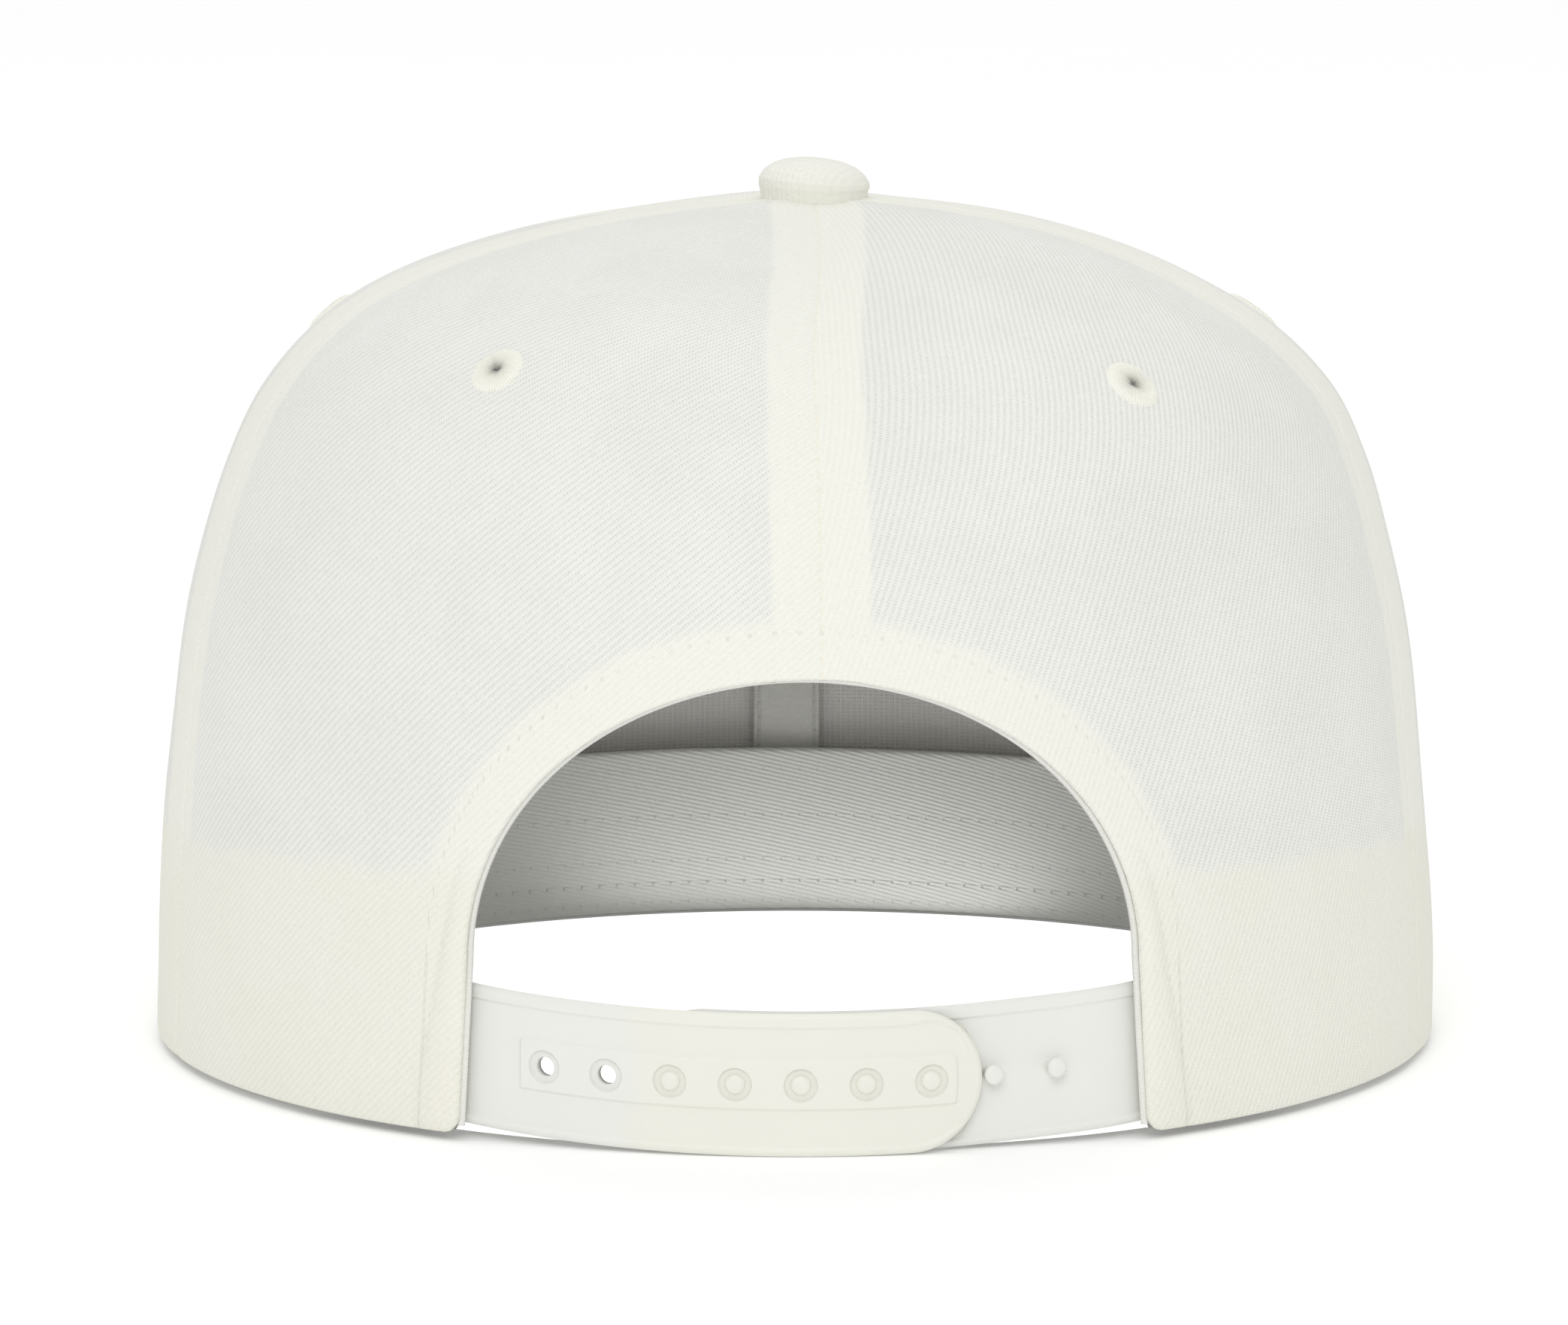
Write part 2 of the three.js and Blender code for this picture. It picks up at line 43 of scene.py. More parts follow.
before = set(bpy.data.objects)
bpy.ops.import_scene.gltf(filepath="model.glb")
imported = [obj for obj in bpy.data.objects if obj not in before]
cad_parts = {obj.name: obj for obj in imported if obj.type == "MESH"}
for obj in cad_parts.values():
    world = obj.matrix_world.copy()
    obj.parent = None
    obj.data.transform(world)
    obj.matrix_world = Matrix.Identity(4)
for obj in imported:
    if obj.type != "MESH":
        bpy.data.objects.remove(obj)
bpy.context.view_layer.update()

BODY = "root"
MM = 0.001

# Sizes of the crown, in millimetres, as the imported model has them
BUTTON_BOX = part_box("button")
CROWN_Y = (BUTTON_BOX[0][1] + BUTTON_BOX[1][1]) / 2 / MM
HALF_WIDTH = 95.0
REAR_DEPTH = 100.0
FRONT_DEPTH = 100.0
CROWN_HEIGHT = 123.3
HEM_HEIGHT = 1.2
CLOTH = 1.2
LINING = 1.0
LAYER_GAP = 0.6
LINING_INSET = CLOTH + LAYER_GAP
LAYER_STEP = LINING + LAYER_GAP
TOP_RADIUS = 5.0
TOP_SHIFT = -2.8  # The top of the photographed crown stands this far to the wearer's right
TOP_SHIFT_FROM = 0.86

ARCH_HEM_HALF_WIDTH = 48.6
ARCH_HALF_WIDTH = 47.2
ARCH_SPRING = 25.0
ARCH_TOP = 65.3
FACING_WIDTH = 7.5

BAND_HEIGHT = 26.8
BAND_BOTTOM = 0.4
LINING_TUCK = 2.5
BAND_LEAN = 2 * LAYER_STEP * BAND_HEIGHT / (BAND_HEIGHT - LINING_TUCK)
LINING_BOTTOM = BAND_BOTTOM - HEM_HEIGHT + BAND_HEIGHT - LINING_TUCK
TAPE_END_RADIUS = 21.0
STIFFENER_END_RADIUS = 27.0

STRAP_WIDTH = 20.0
STRAP_WALL = 1.4
STRAP_BOTTOM = 0.1
STRAP_RISE = 2.7
STRAP_TUCK = 6.5
STRAP_INSET = LINING_INSET + LAYER_STEP
STRAP_RADIUS = HALF_WIDTH - STRAP_INSET
ARCH_AZIMUTH = math.asin(ARCH_HEM_HALF_WIDTH / HALF_WIDTH)
STRAP_END = STRAP_RADIUS * ARCH_AZIMUTH + STRAP_TUCK
STRAP_STEP = STRAP_WALL + LAYER_GAP
OUTER_TIP = -25.1
INNER_TIP = 24.0
RAIL = {"start": 40.8, "end": -21.5, "width": 6.9, "stand": 0.42}
SNAP_PITCH = 9.15
FIRST_HOLE = 37.1
HOLE_COUNT = 7
FIRST_STUD = 2
STUD_COUNT = 7

PEAK_REACH = 70.0
PEAK_HALF_WIDTH = 86.0
PEAK_THICKNESS = 3.0
PEAK_SPAN = math.radians(62)
PEAK_FULLNESS = 2.4
PEAK_MARGIN = 0.15
PEAK_RIB_TURN = math.radians(35)

# Crown sections from the hem to the top, as shares of the crown's height, half width and depths
SECTION_COLUMNS = ("height", "left", "right", "rear", "front")
SECTION_ROWS = np.array([
    (0.000, 1.000, 1.000, 1.000, 1.000),
    (0.125, 0.998, 0.997, 0.996, 1.000),
    (0.250, 0.987, 0.986, 0.986, 0.994),
    (0.375, 0.972, 0.970, 0.970, 0.984),
    (0.500, 0.952, 0.949, 0.948, 0.967),
    (0.600, 0.922, 0.921, 0.920, 0.944),
    (0.690, 0.882, 0.888, 0.882, 0.910),
    (0.775, 0.826, 0.836, 0.825, 0.856),
    (0.850, 0.741, 0.736, 0.738, 0.772),
    (0.905, 0.635, 0.605, 0.625, 0.658),
    (0.945, 0.500, 0.468, 0.490, 0.517),
    (0.973, 0.342, 0.325, 0.338, 0.355),
    (0.992, 0.168, 0.164, 0.168, 0.175),
    (1.000, 0.000, 0.000, 0.000, 0.000),
])
SECTIONS = dict(zip(SECTION_COLUMNS, SECTION_ROWS.T))

# Seams: azimuth in degrees at the hem and at the top, and the tape's width in millimetres
SEAMS = {
    "centre_back": (-1.7, -1.0, 14.8),
    "left_rear": (73, 82, 13.0),
    "left_front": (124, 126, 13.0),
    "centre_front": (180, 180, 11.6),
    "right_front": (236, 234, 13.0),
    "right_rear": (287, 278, 13.0),
}

# Width on each side of a seam over which its tape shows through the cloth, and the same for all
# seams of a side panel
TAPE_SHOWS = {
    "centre_back": 7.2,
    "left_rear": 4.8,
    "left_front": 6.5,
    "centre_front": 5.8,
    "right_front": 6.5,
    "right_rear": 4.8,
}
SIDE_SHOWS = 12.0
BAND_SHOWS = 36.0  # Height over the hem up to which the sweatband shows through

# Panels: seams on both sides, and the ribs' turn in degrees clockwise from the panel's centre line
PANELS = {
    "rear_left": ("centre_back", "left_rear", 48),
    "side_left": ("left_rear", "left_front", 40),
    "front_left": ("left_front", "centre_front", 34),
    "front_right": ("centre_front", "right_front", 26),
    "side_right": ("right_front", "right_rear", 22),
    "rear_right": ("right_rear", "centre_back", 27),
}

# Eyelets: share across the panel and share of the crown's height
EYELETS = {
    "rear_left": (0.495, 0.846),
    "side_left": (0.5, 0.85),
    "front_left": (0.45, 0.86),
    "front_right": (0.55, 0.86),
    "side_right": (0.5, 0.85),
    "rear_right": (0.489, 0.828),
}


# Crown surface

def column(name, level):
    """Catmull-Rom value of a section column at levels from 0, the hem, to 1, the top."""
    table = SECTIONS[name]
    last = len(table) - 1
    beyond = table[last - 1] if name == "height" else -table[last - 1]
    padded = np.concatenate([[2 * table[0] - table[1]], table, [beyond]])
    place = np.clip(level, 0, 1) * last
    row = np.minimum(np.floor(place).astype(int), last - 1)
    rest = place - row
    before, start, end, after = (padded[row + step] for step in range(4))
    bend = 2 * before - 5 * start + 4 * end - after
    twist = 3 * (start - end) + after - before
    return start + 0.5 * rest * (end - before + rest * (bend + rest * twist))


LEVELS = np.linspace(0, 1, 4001)
HEIGHTS = CROWN_HEIGHT * column("height", LEVELS)
RADII = HALF_WIDTH * column("left", LEVELS)
MERIDIAN = np.concatenate([[0], np.cumsum(np.hypot(np.diff(HEIGHTS), np.diff(RADII)))])
MERIDIAN_END = np.interp(-TOP_RADIUS, -RADII, MERIDIAN)


def level_at_height(height):
    return np.interp(height, HEIGHTS, LEVELS)


def level_at_radius(radius):
    return np.interp(-radius, -RADII, LEVELS)


def skin(azimuth, level):
    """Outer skin: each level is four quarter ellipses with the half axes of its section."""
    across, along = np.sin(azimuth), np.cos(azimuth)
    side = HALF_WIDTH * np.where(across > 0, column("left", level), column("right", level))
    rear = REAR_DEPTH * column("rear", level)
    front = FRONT_DEPTH * column("front", level)
    depth = np.where(along > 0, rear, front)
    height = HEM_HEIGHT + CROWN_HEIGHT * column("height", level)
    return np.stack([side * across, depth * along + CROWN_Y, height + 0 * azimuth], axis=-1)


def crown(azimuth, level, inset):
    """Point at a depth under the skin, measured along the skin's normal."""
    azimuth, level = np.broadcast_arrays(azimuth, level)
    step = 1e-3
    round_ = skin(azimuth + step, level) - skin(azimuth - step, level)
    upward = skin(azimuth, level + step) - skin(azimuth, level - step)
    normal = np.cross(upward, round_)
    normal /= np.linalg.norm(normal, axis=-1, keepdims=True)
    points = skin(azimuth, level) - normal * np.asarray(inset)[..., None]
    points[..., 0] += TOP_SHIFT * smooth(TOP_SHIFT_FROM, 1.0, column("height", level))
    return points


def wall(azimuth, height, inset):
    """Point of the wall low down, by its height over the hem."""
    point = crown(azimuth, level_at_height(np.maximum(height, 0)), inset)
    point[..., 2] = HEM_HEIGHT + height
    return point


def seam_azimuth(seam, level):
    hem, top, _ = SEAMS[seam]
    return np.radians(hem + (top - hem) * level**2)


def ring_radius(azimuth, level):
    point = skin(azimuth, level)
    return np.hypot(point[..., 0], point[..., 1] - CROWN_Y)


def smooth(low, high, value):
    share = np.clip((value - low) / (high - low), 0, 1)
    return share * share * (3 - 2 * share)


def spaced(near, length, step):
    """Distances from 0 to a length: a fine run at each end and even steps between."""
    near = np.asarray(near)
    count = max(int((length - 2 * near[-1]) / step), 2)
    middle = np.linspace(near[-1], length - near[-1], count + 1)
    return np.concatenate([near[:-1], middle, length - near[-2::-1]])


# Meshes

def surface(name, points, weave, fields=None, keep=None):
    """Mesh of a grid of points in millimetres. Rows run up and columns towards +azimuth, so that
    faces point outwards. weave is the UV map in millimetres; fields are numbers per point."""
    rows, columns = points.shape[:2]
    index = np.arange(rows * columns).reshape(rows, columns)
    quads = np.stack([index[:-1, :-1], index[1:, :-1], index[1:, 1:], index[:-1, 1:]], axis=-1)
    quads = quads[keep] if keep is not None else quads.reshape(-1, 4)
    quads = quads.reshape(-1, 4)
    used, compact = np.unique(quads, return_inverse=True)
    quads = compact.reshape(-1, 4)
    mesh = bpy.data.meshes.new(name)
    mesh.vertices.add(len(used))
    mesh.vertices.foreach_set("co", (points.reshape(-1, 3)[used] * MM).ravel())
    mesh.loops.add(quads.size)
    mesh.loops.foreach_set("vertex_index", quads.ravel().astype(np.int32))
    mesh.polygons.add(len(quads))
    mesh.polygons.foreach_set("loop_start", np.arange(0, quads.size, 4, dtype=np.int32))
    mesh.update(calc_edges=True)
    mesh.polygons.foreach_set("use_smooth", np.ones(len(quads), dtype=bool))
    layer = mesh.uv_layers.new(name="weave")
    layer.data.foreach_set("uv", weave.reshape(-1, 2)[used][quads.ravel()].ravel())
    for field, values in (fields or {}).items():
        attribute = mesh.attributes.new(field, "FLOAT", "POINT")
        attribute.data.foreach_set("value", np.broadcast_to(values, (rows, columns)).ravel()[used])
    mesh.validate()
    piece = bpy.data.objects.new(name, mesh)
    bpy.context.scene.collection.objects.link(piece)
    return piece


def thicken(piece, thickness, offset=-1.0, bevel=0.0):
    """Gives a sheet its wall, in millimetres, and rounds the rim."""
    solid = piece.modifiers.new("Wall", "SOLIDIFY")
    solid.thickness = thickness * MM
    solid.offset = offset
    if bevel:
        rim = piece.modifiers.new("Rim", "BEVEL")
        rim.width = bevel * MM
        rim.segments = 3
        rim.limit_method = "ANGLE"
        rim.angle_limit = math.radians(50)


def dress(piece, material, slot, *nodes):
    """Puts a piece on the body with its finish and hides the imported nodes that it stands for."""
    piece.data.materials.append(material)
    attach(piece, BODY)
    if nodes:
        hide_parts(*nodes)


# Shader maths

class Value:
    """A number socket of a material; arithmetic on it adds Math nodes."""

    def __init__(self, finish, socket):
        self.finish = finish
        self.socket = socket

    def math(self, operation, *others):
        return self.finish.math(operation, self, *others)

    def __add__(self, other):
        return self.math("ADD", other)

    def __radd__(self, other):
        return self.finish.math("ADD", other, self)

    def __sub__(self, other):
        return self.math("SUBTRACT", other)

    def __rsub__(self, other):
        return self.finish.math("SUBTRACT", other, self)

    def __mul__(self, other):
        return self.math("MULTIPLY", other)

    def __rmul__(self, other):
        return self.finish.math("MULTIPLY", other, self)

    def __truediv__(self, other):
        return self.math("DIVIDE", other)

    def wave(self):
        """From 0 to 1 and back over each whole number, highest at the whole numbers."""
        return (self * (2 * math.pi)).math("COSINE") * 0.5 + 0.5

    def fraction(self):
        return self.math("FRACT")

    def away(self, centre):
        return (self - centre).math("ABSOLUTE")

    def rise(self, low, high):
        """0 below low and 1 above high, smooth between."""
        node = self.finish.node(
            "ShaderNodeMapRange",
            {"interpolation_type": "SMOOTHSTEP"},
            {"Value": self, "From Min": low, "From Max": high},
        )
        return Value(self.finish, node.outputs["Result"])

    def fall(self, low, high):
        return 1 - self.rise(low, high)


class Finish:
    """A material with one Principled shader, and the one method that adds any other node."""

    def __init__(self, name, roughness, sheen=0.0, specular=0.5):
        self.material = bpy.data.materials.new(name)
        self.material.use_nodes = True
        self.tree = self.material.node_tree
        self.shader = self.tree.nodes["Principled BSDF"]
        self.shader.inputs["Roughness"].default_value = roughness
        self.shader.inputs["Specular IOR Level"].default_value = specular
        self.shader.inputs["Sheen Weight"].default_value = sheen
        self.shader.inputs["Sheen Roughness"].default_value = 0.6

    def node(self, kind, settings=None, inputs=None):
        node = self.tree.nodes.new(kind)
        for key, value in (settings or {}).items():
            setattr(node, key, value)
        for key, value in (inputs or {}).items():
            self.feed(node.inputs[key], value)
        return node

    def feed(self, socket, value):
        if isinstance(value, Value):
            self.tree.links.new(value.socket, socket)
        elif isinstance(value, bpy.types.NodeSocket):
            self.tree.links.new(value, socket)
        else:
            socket.default_value = value

    def math(self, operation, *terms):
        node = self.node("ShaderNodeMath", {"operation": operation}, dict(enumerate(terms)))
        return Value(self, node.outputs[0])

    def weave(self):
        """The two coordinates of the piece's own map, in millimetres."""
        node = self.node("ShaderNodeUVMap", {"uv_map": "weave"})
        split = self.node("ShaderNodeSeparateXYZ", None, {0: node.outputs[0]})
        return Value(self, split.outputs[0]), Value(self, split.outputs[1])

    def field(self, name):
        node = self.node("ShaderNodeAttribute", {"attribute_name": name})
        return Value(self, node.outputs["Fac"])

    def noise(self, per_metre, detail=2.0):
        """Soft noise from 0 to 1 over the Object coordinates."""
        place = self.node("ShaderNodeTexCoord").outputs["Object"]
        node = self.node(
            "ShaderNodeTexNoise",
            {"noise_dimensions": "3D"},
            {"Vector": place, "Scale": per_metre, "Detail": detail, "Roughness": 0.55},
        )
        return Value(self, node.outputs["Fac"])

    def mix(self, factor, first, second):
        """Colour between two colours."""
        first, second = (rgba(one) if isinstance(one, tuple) else one for one in (first, second))
        node = self.node("ShaderNodeMix", {"data_type": "RGBA"}, {0: factor, 6: first, 7: second})
        return node.outputs[2]

    def shade(self, colour, amount):
        """Colour times a number that varies."""
        node = self.node("ShaderNodeVectorMath", {"operation": "SCALE"}, {0: colour, "Scale": amount})
        return node.outputs[0]

    def glow(self, strength):
        """White light that the surface gives off."""
        self.shader.inputs["Emission Color"].default_value = (1.0, 1.0, 1.0, 1.0)
        self.shader.inputs["Emission Strength"].default_value = strength

    def finish(self, colour, height=None, depth_mm=0.1, roughness=None):
        self.feed(self.shader.inputs["Base Color"], colour)
        if roughness is not None:
            self.feed(self.shader.inputs["Roughness"], roughness)
        if height is not None:
            bump = self.node("ShaderNodeBump", None, {"Height": height, "Distance": depth_mm * MM})
            self.feed(self.shader.inputs["Normal"], bump.outputs[0])
        return self.material


def rgba(colour):
    return (*colour, 1.0)


def twill(across, along, pitch, thread):
    """Ribs and floats of twill: rounded ribs side by side, each broken into short slanted floats."""
    ribs = (across / pitch).wave()
    floats = (along / thread + across / pitch * 0.5).wave()
    return ribs, floats


def stitch_row(across, along, centre, pitch, width=0.28, gap=0.18):
    """A row of stitches: a furrow with rounded thread lengths in it, and the needle holes."""
    near = across.away(centre)
    furrow = near.fall(width * 0.9, width * 2.6)
    share = (along / pitch).fraction()
    body = share.rise(0.0, gap) * share.fall(1 - gap, 1.0)
    thread = near.fall(width * 0.35, width) * body
    hole = near.fall(width * 0.6, width * 1.5) * (1 - body)
    return furrow, thread, hole


# Finishes

# Rows of stitches in the crown: the row along the arch by its distance from the edge, and the
# lengths of the stitches in it, beside the crease and in the seams, in millimetres
NEEDLE_ROW = 6.4
NEEDLE_PITCH = 2.9
CREASE_PITCH = 2.7
SEAM_PITCH = 2.2

# Stitch rows of the sweatband: share of its height from the top, and strength
BAND_ROWS = ((0.12, 0.2), (0.41, 0.45), (0.68, 0.4), (0.82, 0.8), (0.94, 0.4))
BAND_PITCH = 3.1


def twill_finish(looks):
    """Crown cloth: ribs and floats, with dark dots between them where nothing lies behind, painted
    shade of the hollow seen through the weave, and brighter where tape, facing or sweatband do.
    Painted shade also darkens the grooves between the ribs, the needle holes and the crease."""
    made = Finish("ivory_twill", 0.86, sheen=0.12, specular=0.25)
    across, along = made.weave()
    ribs, floats = twill(across, along, looks.rib_pitch, looks.float_length)
    seam = made.field("seam_mm")
    arch = made.field("arch_mm")
    crease = made.field("crease_mm")
    low = made.field("low_mm")
    wander = made.noise(140, 2.0) - 0.5
    tape = (made.field("tape_mm") + 1.2 * wander).fall(-0.7, 0.7)
    facing = (arch + 2.0 * wander).fall(6.6, 9.2)
    band = (low + 5.0 * wander).fall(-2.0, 2.0)
    backed = tape.math("MAXIMUM", facing).math("MAXIMUM", band * 0.85)
    patch = made.noise(55, 3.0)
    fibre = made.noise(5200, 2.0)
    nap = made.noise(1500, 3.0)
    single = made.mix(patch.rise(0.3, 0.7), tuple(looks.cloth_cool), tuple(looks.cloth_shade))
    warm = band * (0.55 + 0.45 * patch.rise(0.25, 0.75))
    double = made.mix(warm, tuple(looks.cloth), tuple(looks.cloth_warm))
    colour = made.mix(backed, single, double)
    # Painted shade: the gaps between ribs and floats are darker where the shaded hollow shows through
    dots = (1 - ribs).rise(0.45, 0.95) * (1 - floats).rise(0.3, 0.9)
    gap_shade = dots * (0.24 - 0.18 * backed) * fibre.rise(0.3, 0.55)
    # Painted shade in the grooves between the ribs
    groove_shade = (1 - ribs) * (0.03 - 0.01 * backed)
    # Painted shade darkens the needle holes of the row along the arch; the bump also sinks them
    needle_row = arch.away(NEEDLE_ROW).fall(0.12, 0.34)
    needle = needle_row * (made.field("arch_run") / NEEDLE_PITCH).wave().rise(0.9, 0.97)
    # Painted shade along the crease beside the arch
    crease_shade = crease.fall(0.0, 1.1)
    upward = made.field("up_mm")
    stitched = crease.fall(0.1, 0.5) * (upward / CREASE_PITCH).wave()
    tone = 1.02 - gap_shade - groove_shade - 0.07 * needle - 0.02 * crease_shade + 0.05 * (nap - 0.5)
    dashes = (upward / SEAM_PITCH).wave().rise(0.35, 0.6)
    thread = seam.fall(0.08, 0.3) * (0.3 + 0.7 * dashes)
    coloured = made.mix(thread * 0.6, made.shade(colour, tone), tuple(looks.seam_thread))
    weave = ribs * (0.6 + 0.4 * floats) + fibre * 0.35
    height = weave * (1 - 0.3 * backed) + 1.1 * nap + 0.4 * stitched - 0.4 * needle
    return made.finish(coloured, height, 0.11)


def tape_finish(looks):
    """Seam tape: a fine herring-like twill with a dashed stitch row inside each edge."""
    made = Finish("seam_tape", 0.9, sheen=0.1, specular=0.2)
    across, along = made.weave()
    fine = ((across + along) / 0.55).wave() * 0.6 + ((across - along) / 0.55).wave() * 0.4
    edge = made.field("edge_mm")
    furrow, thread, hole = stitch_row(edge, along, 0.9, 2.4, width=0.2)
    fibre = made.noise(4200)
    # Painted shade darkens the needle holes and the stitch furrow
    tone = 0.94 + 0.07 * fine - 0.16 * hole - 0.05 * furrow + 0.03 * fibre
    colour = made.shade(tuple(looks.tape), tone)
    height = fine * 0.5 + fibre * 0.3 - furrow + 0.8 * thread
    return made.finish(colour, height, 0.12)


def stiffener_finish(looks):
    """Buckram: an open square grid of stiff threads over a darker ground."""
    made = Finish("buckram", 0.9, sheen=0.05, specular=0.2)
    across, along = made.weave()
    warp = (across / looks.mesh_pitch).wave()
    weft = (along / (looks.mesh_pitch * 0.62)).wave()
    grid = warp.rise(0.45, 0.85).math("MAXIMUM", weft.rise(0.35, 0.8) * 0.8)
    fibre = made.noise(3600)
    colour = made.shade(tuple(looks.buckram), 0.95 + 0.06 * grid + 0.08 * (fibre - 0.5))
    return made.finish(colour, grid + fibre * 0.2, 0.1)


def band_finish(looks):
    """Sweatband: low twill ribs with stitch rows along it, more towards its lower edge."""
    made = Finish("sweatband_cloth", 0.9, sheen=0.12, specular=0.2)
    run, up = made.weave()
    turned = up * 0.97 + run * 0.22
    ribs, floats = twill(turned, run, 0.66, 0.5)
    down = BAND_HEIGHT - up
    fibre = made.noise(5200)
    height = ribs * (0.6 + 0.4 * floats) + fibre * 0.4
    # Painted shade in the grooves between the ribs
    tone = 0.97 - (1 - ribs) * 0.035 + 0.02 * fibre
    for place, strength in BAND_ROWS:
        furrow, thread, hole = stitch_row(down, run, place * BAND_HEIGHT, BAND_PITCH, 0.24, 0.1)
        height = height + (0.7 * thread - 0.5 * furrow - 1.2 * hole) * strength
        # Painted shade darkens the needle holes and furrows of each row
        tone = tone - (0.3 * hole + 0.01 * furrow) * strength
    colour = made.shade(tuple(looks.band), tone)
    return made.finish(colour, height, 0.1)


def thread_finish(looks):
    """Embroidery thread: fine strands across each ridge, with a silky sheen."""
    made = Finish("embroidery_thread", 0.62, sheen=0.25, specular=0.35)
    around, along = made.weave()
    strands = (around * 0.5).wave()
    fibre = made.noise(3800)
    slit = made.field("slit")
    # Painted shade: the thread darkens towards the middle of the eyelet and in its slit, where the closed
    # ring stands for an opening
    centre = 0.12 * along.fall(0.2, 1.6) + 0.3 * slit.fall(0.2, 1.0)
    tone = 0.96 + 0.05 * strands + 0.04 * fibre - centre
    colour = made.shade(tuple(looks.thread), tone)
    return made.finish(colour, strands + fibre * 0.6, 0.08)


def plastic_finish(looks):
    """Moulded plastic: satin with faint flow marks and a slightly uneven gloss. Its colour holds
    painted shade in the sunk rings and on relief that faces down, and a painted highlight on
    relief that faces up.
    """
    made = Finish("strap_plastic", 0.36, specular=0.45)
    flow = made.noise(90, 3.0)
    fine = made.noise(1400, 2.0)
    recess = made.field("recess")
    double = (made.field("double_mm") + 7.0 * (made.noise(110) - 0.5)).rise(-3.5, 3.5)
    # Painted shade: darker in the sunk rings (recess) and on relief facing down; painted highlight on
    # relief facing up (slope)
    tone = 0.985 + 0.03 * (flow - 0.5) - 0.03 * recess - 0.035 * made.field("slope")
    colour = made.shade(made.mix(double, tuple(looks.plastic_cool), tuple(looks.plastic)), tone)
    rough = 0.34 + 0.12 * flow + 0.04 * fine
    return made.finish(colour, flow * 0.5 + fine * 0.12, 0.03, rough)


def peak_finish(looks):
    """Peak cloth: twill with rows of stitching that follow the front edge."""
    made = Finish("peak_twill", 0.88, sheen=0.12, specular=0.25)
    across, along = made.weave()
    ribs, floats = twill(across, along, looks.rib_pitch, looks.float_length)
    rim = made.field("rim_mm")
    run = made.field("rim_run")
    fibre = made.noise(5200)
    height = ribs * (0.6 + 0.4 * floats) + fibre * 0.4
    spacing = looks.peak_row_spacing
    rows = rim / spacing
    inside = rim.rise(spacing * 0.4, spacing * 0.5) * rim.fall(spacing * 8.4, spacing * 8.5)
    offset = ((rows + 0.5).fraction() - 0.5).math("ABSOLUTE") * spacing
    furrow, thread, hole = stitch_row(offset, run, 0.0, 2.8, width=0.26)
    height = height + (0.9 * thread - 1.2 * furrow) * inside
    # Painted shade in the grooves between the ribs and in the needle holes and furrows of the stitch rows
    tone = 0.985 - (1 - ribs) * 0.03 - (0.12 * hole + 0.03 * furrow) * inside
    colour = made.shade(tuple(looks.cloth), tone)
    return made.finish(colour, height, 0.12)


def floor_finish(looks, glow):
    made = Finish("pale_floor", 0.9, specular=0.1)
    made.glow(glow)
    grain = made.noise(9, 2.0)
    return made.finish(made.shade(tuple(looks.floor), 0.995 + 0.01 * grain))


# Crown panels

def running(points):
    """Length along a line of points, from 0 at its first point."""
    return np.concatenate([[0], np.cumsum(np.linalg.norm(np.diff(points, axis=0), axis=1))])


def arch_path(count):
    """Half of the arch outline on the skin, from its top to its foot: a quarter ellipse and a
    straight side, as azimuth and level, evenly spaced along its length."""
    turn = np.linspace(math.pi / 2, 0, 400)
    half = ARCH_HALF_WIDTH * np.cos(turn)
    high = ARCH_SPRING + (ARCH_TOP - ARCH_SPRING) * np.sin(turn)
    side = np.linspace(0, 1, 120)[1:]
    half = np.concatenate([half, ARCH_HALF_WIDTH + (ARCH_HEM_HALF_WIDTH - ARCH_HALF_WIDTH) * side])
    high = np.concatenate([high, ARCH_SPRING * (1 - side)])
    level = level_at_height(high)
    azimuth = np.arcsin(half / (HALF_WIDTH * column("left", level)))
    run = running(skin(azimuth, level))
    wanted = spaced(NEAR_EDGE, run[-1], run[-1] / count)
    return np.interp(wanted, run, azimuth), np.interp(wanted, run, level), wanted


NEAR_EDGE = (0.0, 0.04, 0.12, 0.25, 0.42, 0.65, 0.95, 1.4, 2.1, 3.0)
PANEL_WALL = 1.3
PANEL_ROWS = 96
CORNER = 2.4
LEAVING = 0.6  # Power by which the columns leave their place on the lower edge for an even spread
FAR = 99.0  # Distance, in millimetres, of what isn't near


def roll(distance, radius):
    """Depth of a turned edge: a quarter circle that ends a radius away from the edge."""
    short = np.clip(1 - distance / radius, 0, 1)
    return radius * (1 - np.sqrt(1 - short**2))


def seam_dip(distance):
    """Shallow valley where two panels are sewn together."""
    return 0.16 * np.exp(-((distance / 0.5) ** 2)) + 0.1 * np.exp(-((distance / 3.0) ** 2))


def round_corner(azimuth, level, arch, upward, toward):
    """Rounds the corner between the arch and the hem: the square beside it bends to a circle."""
    beside, over = (np.clip(CORNER - away, 0, None) for away in (arch, upward))
    bend = 1 - np.maximum(beside, over) / np.maximum(np.hypot(beside, over), 1e-9)
    climb = np.interp(upward + over * bend, MERIDIAN, LEVELS)
    return azimuth + toward * beside * bend / HALF_WIDTH, np.where(bend > 0, climb, level)


def settle(azimuth, level):
    """Slow waves of worn cloth, a few tenths of a millimetre."""
    height = CROWN_HEIGHT * column("height", level)
    waves = np.sin(3 * azimuth + height / 23) * np.sin(height / 17 + 1.3)
    ripples = np.sin(9 * azimuth - height / 11 + 0.6) * np.cos(height / 9.0)
    return 0.28 * waves + 0.1 * ripples


def crease_distance(arch, height):
    """Distance from the crease that runs down beside the arch and away from it."""
    return arch - (6.9 - 3.7 * np.clip((height - 4) / 26, 0, 1))


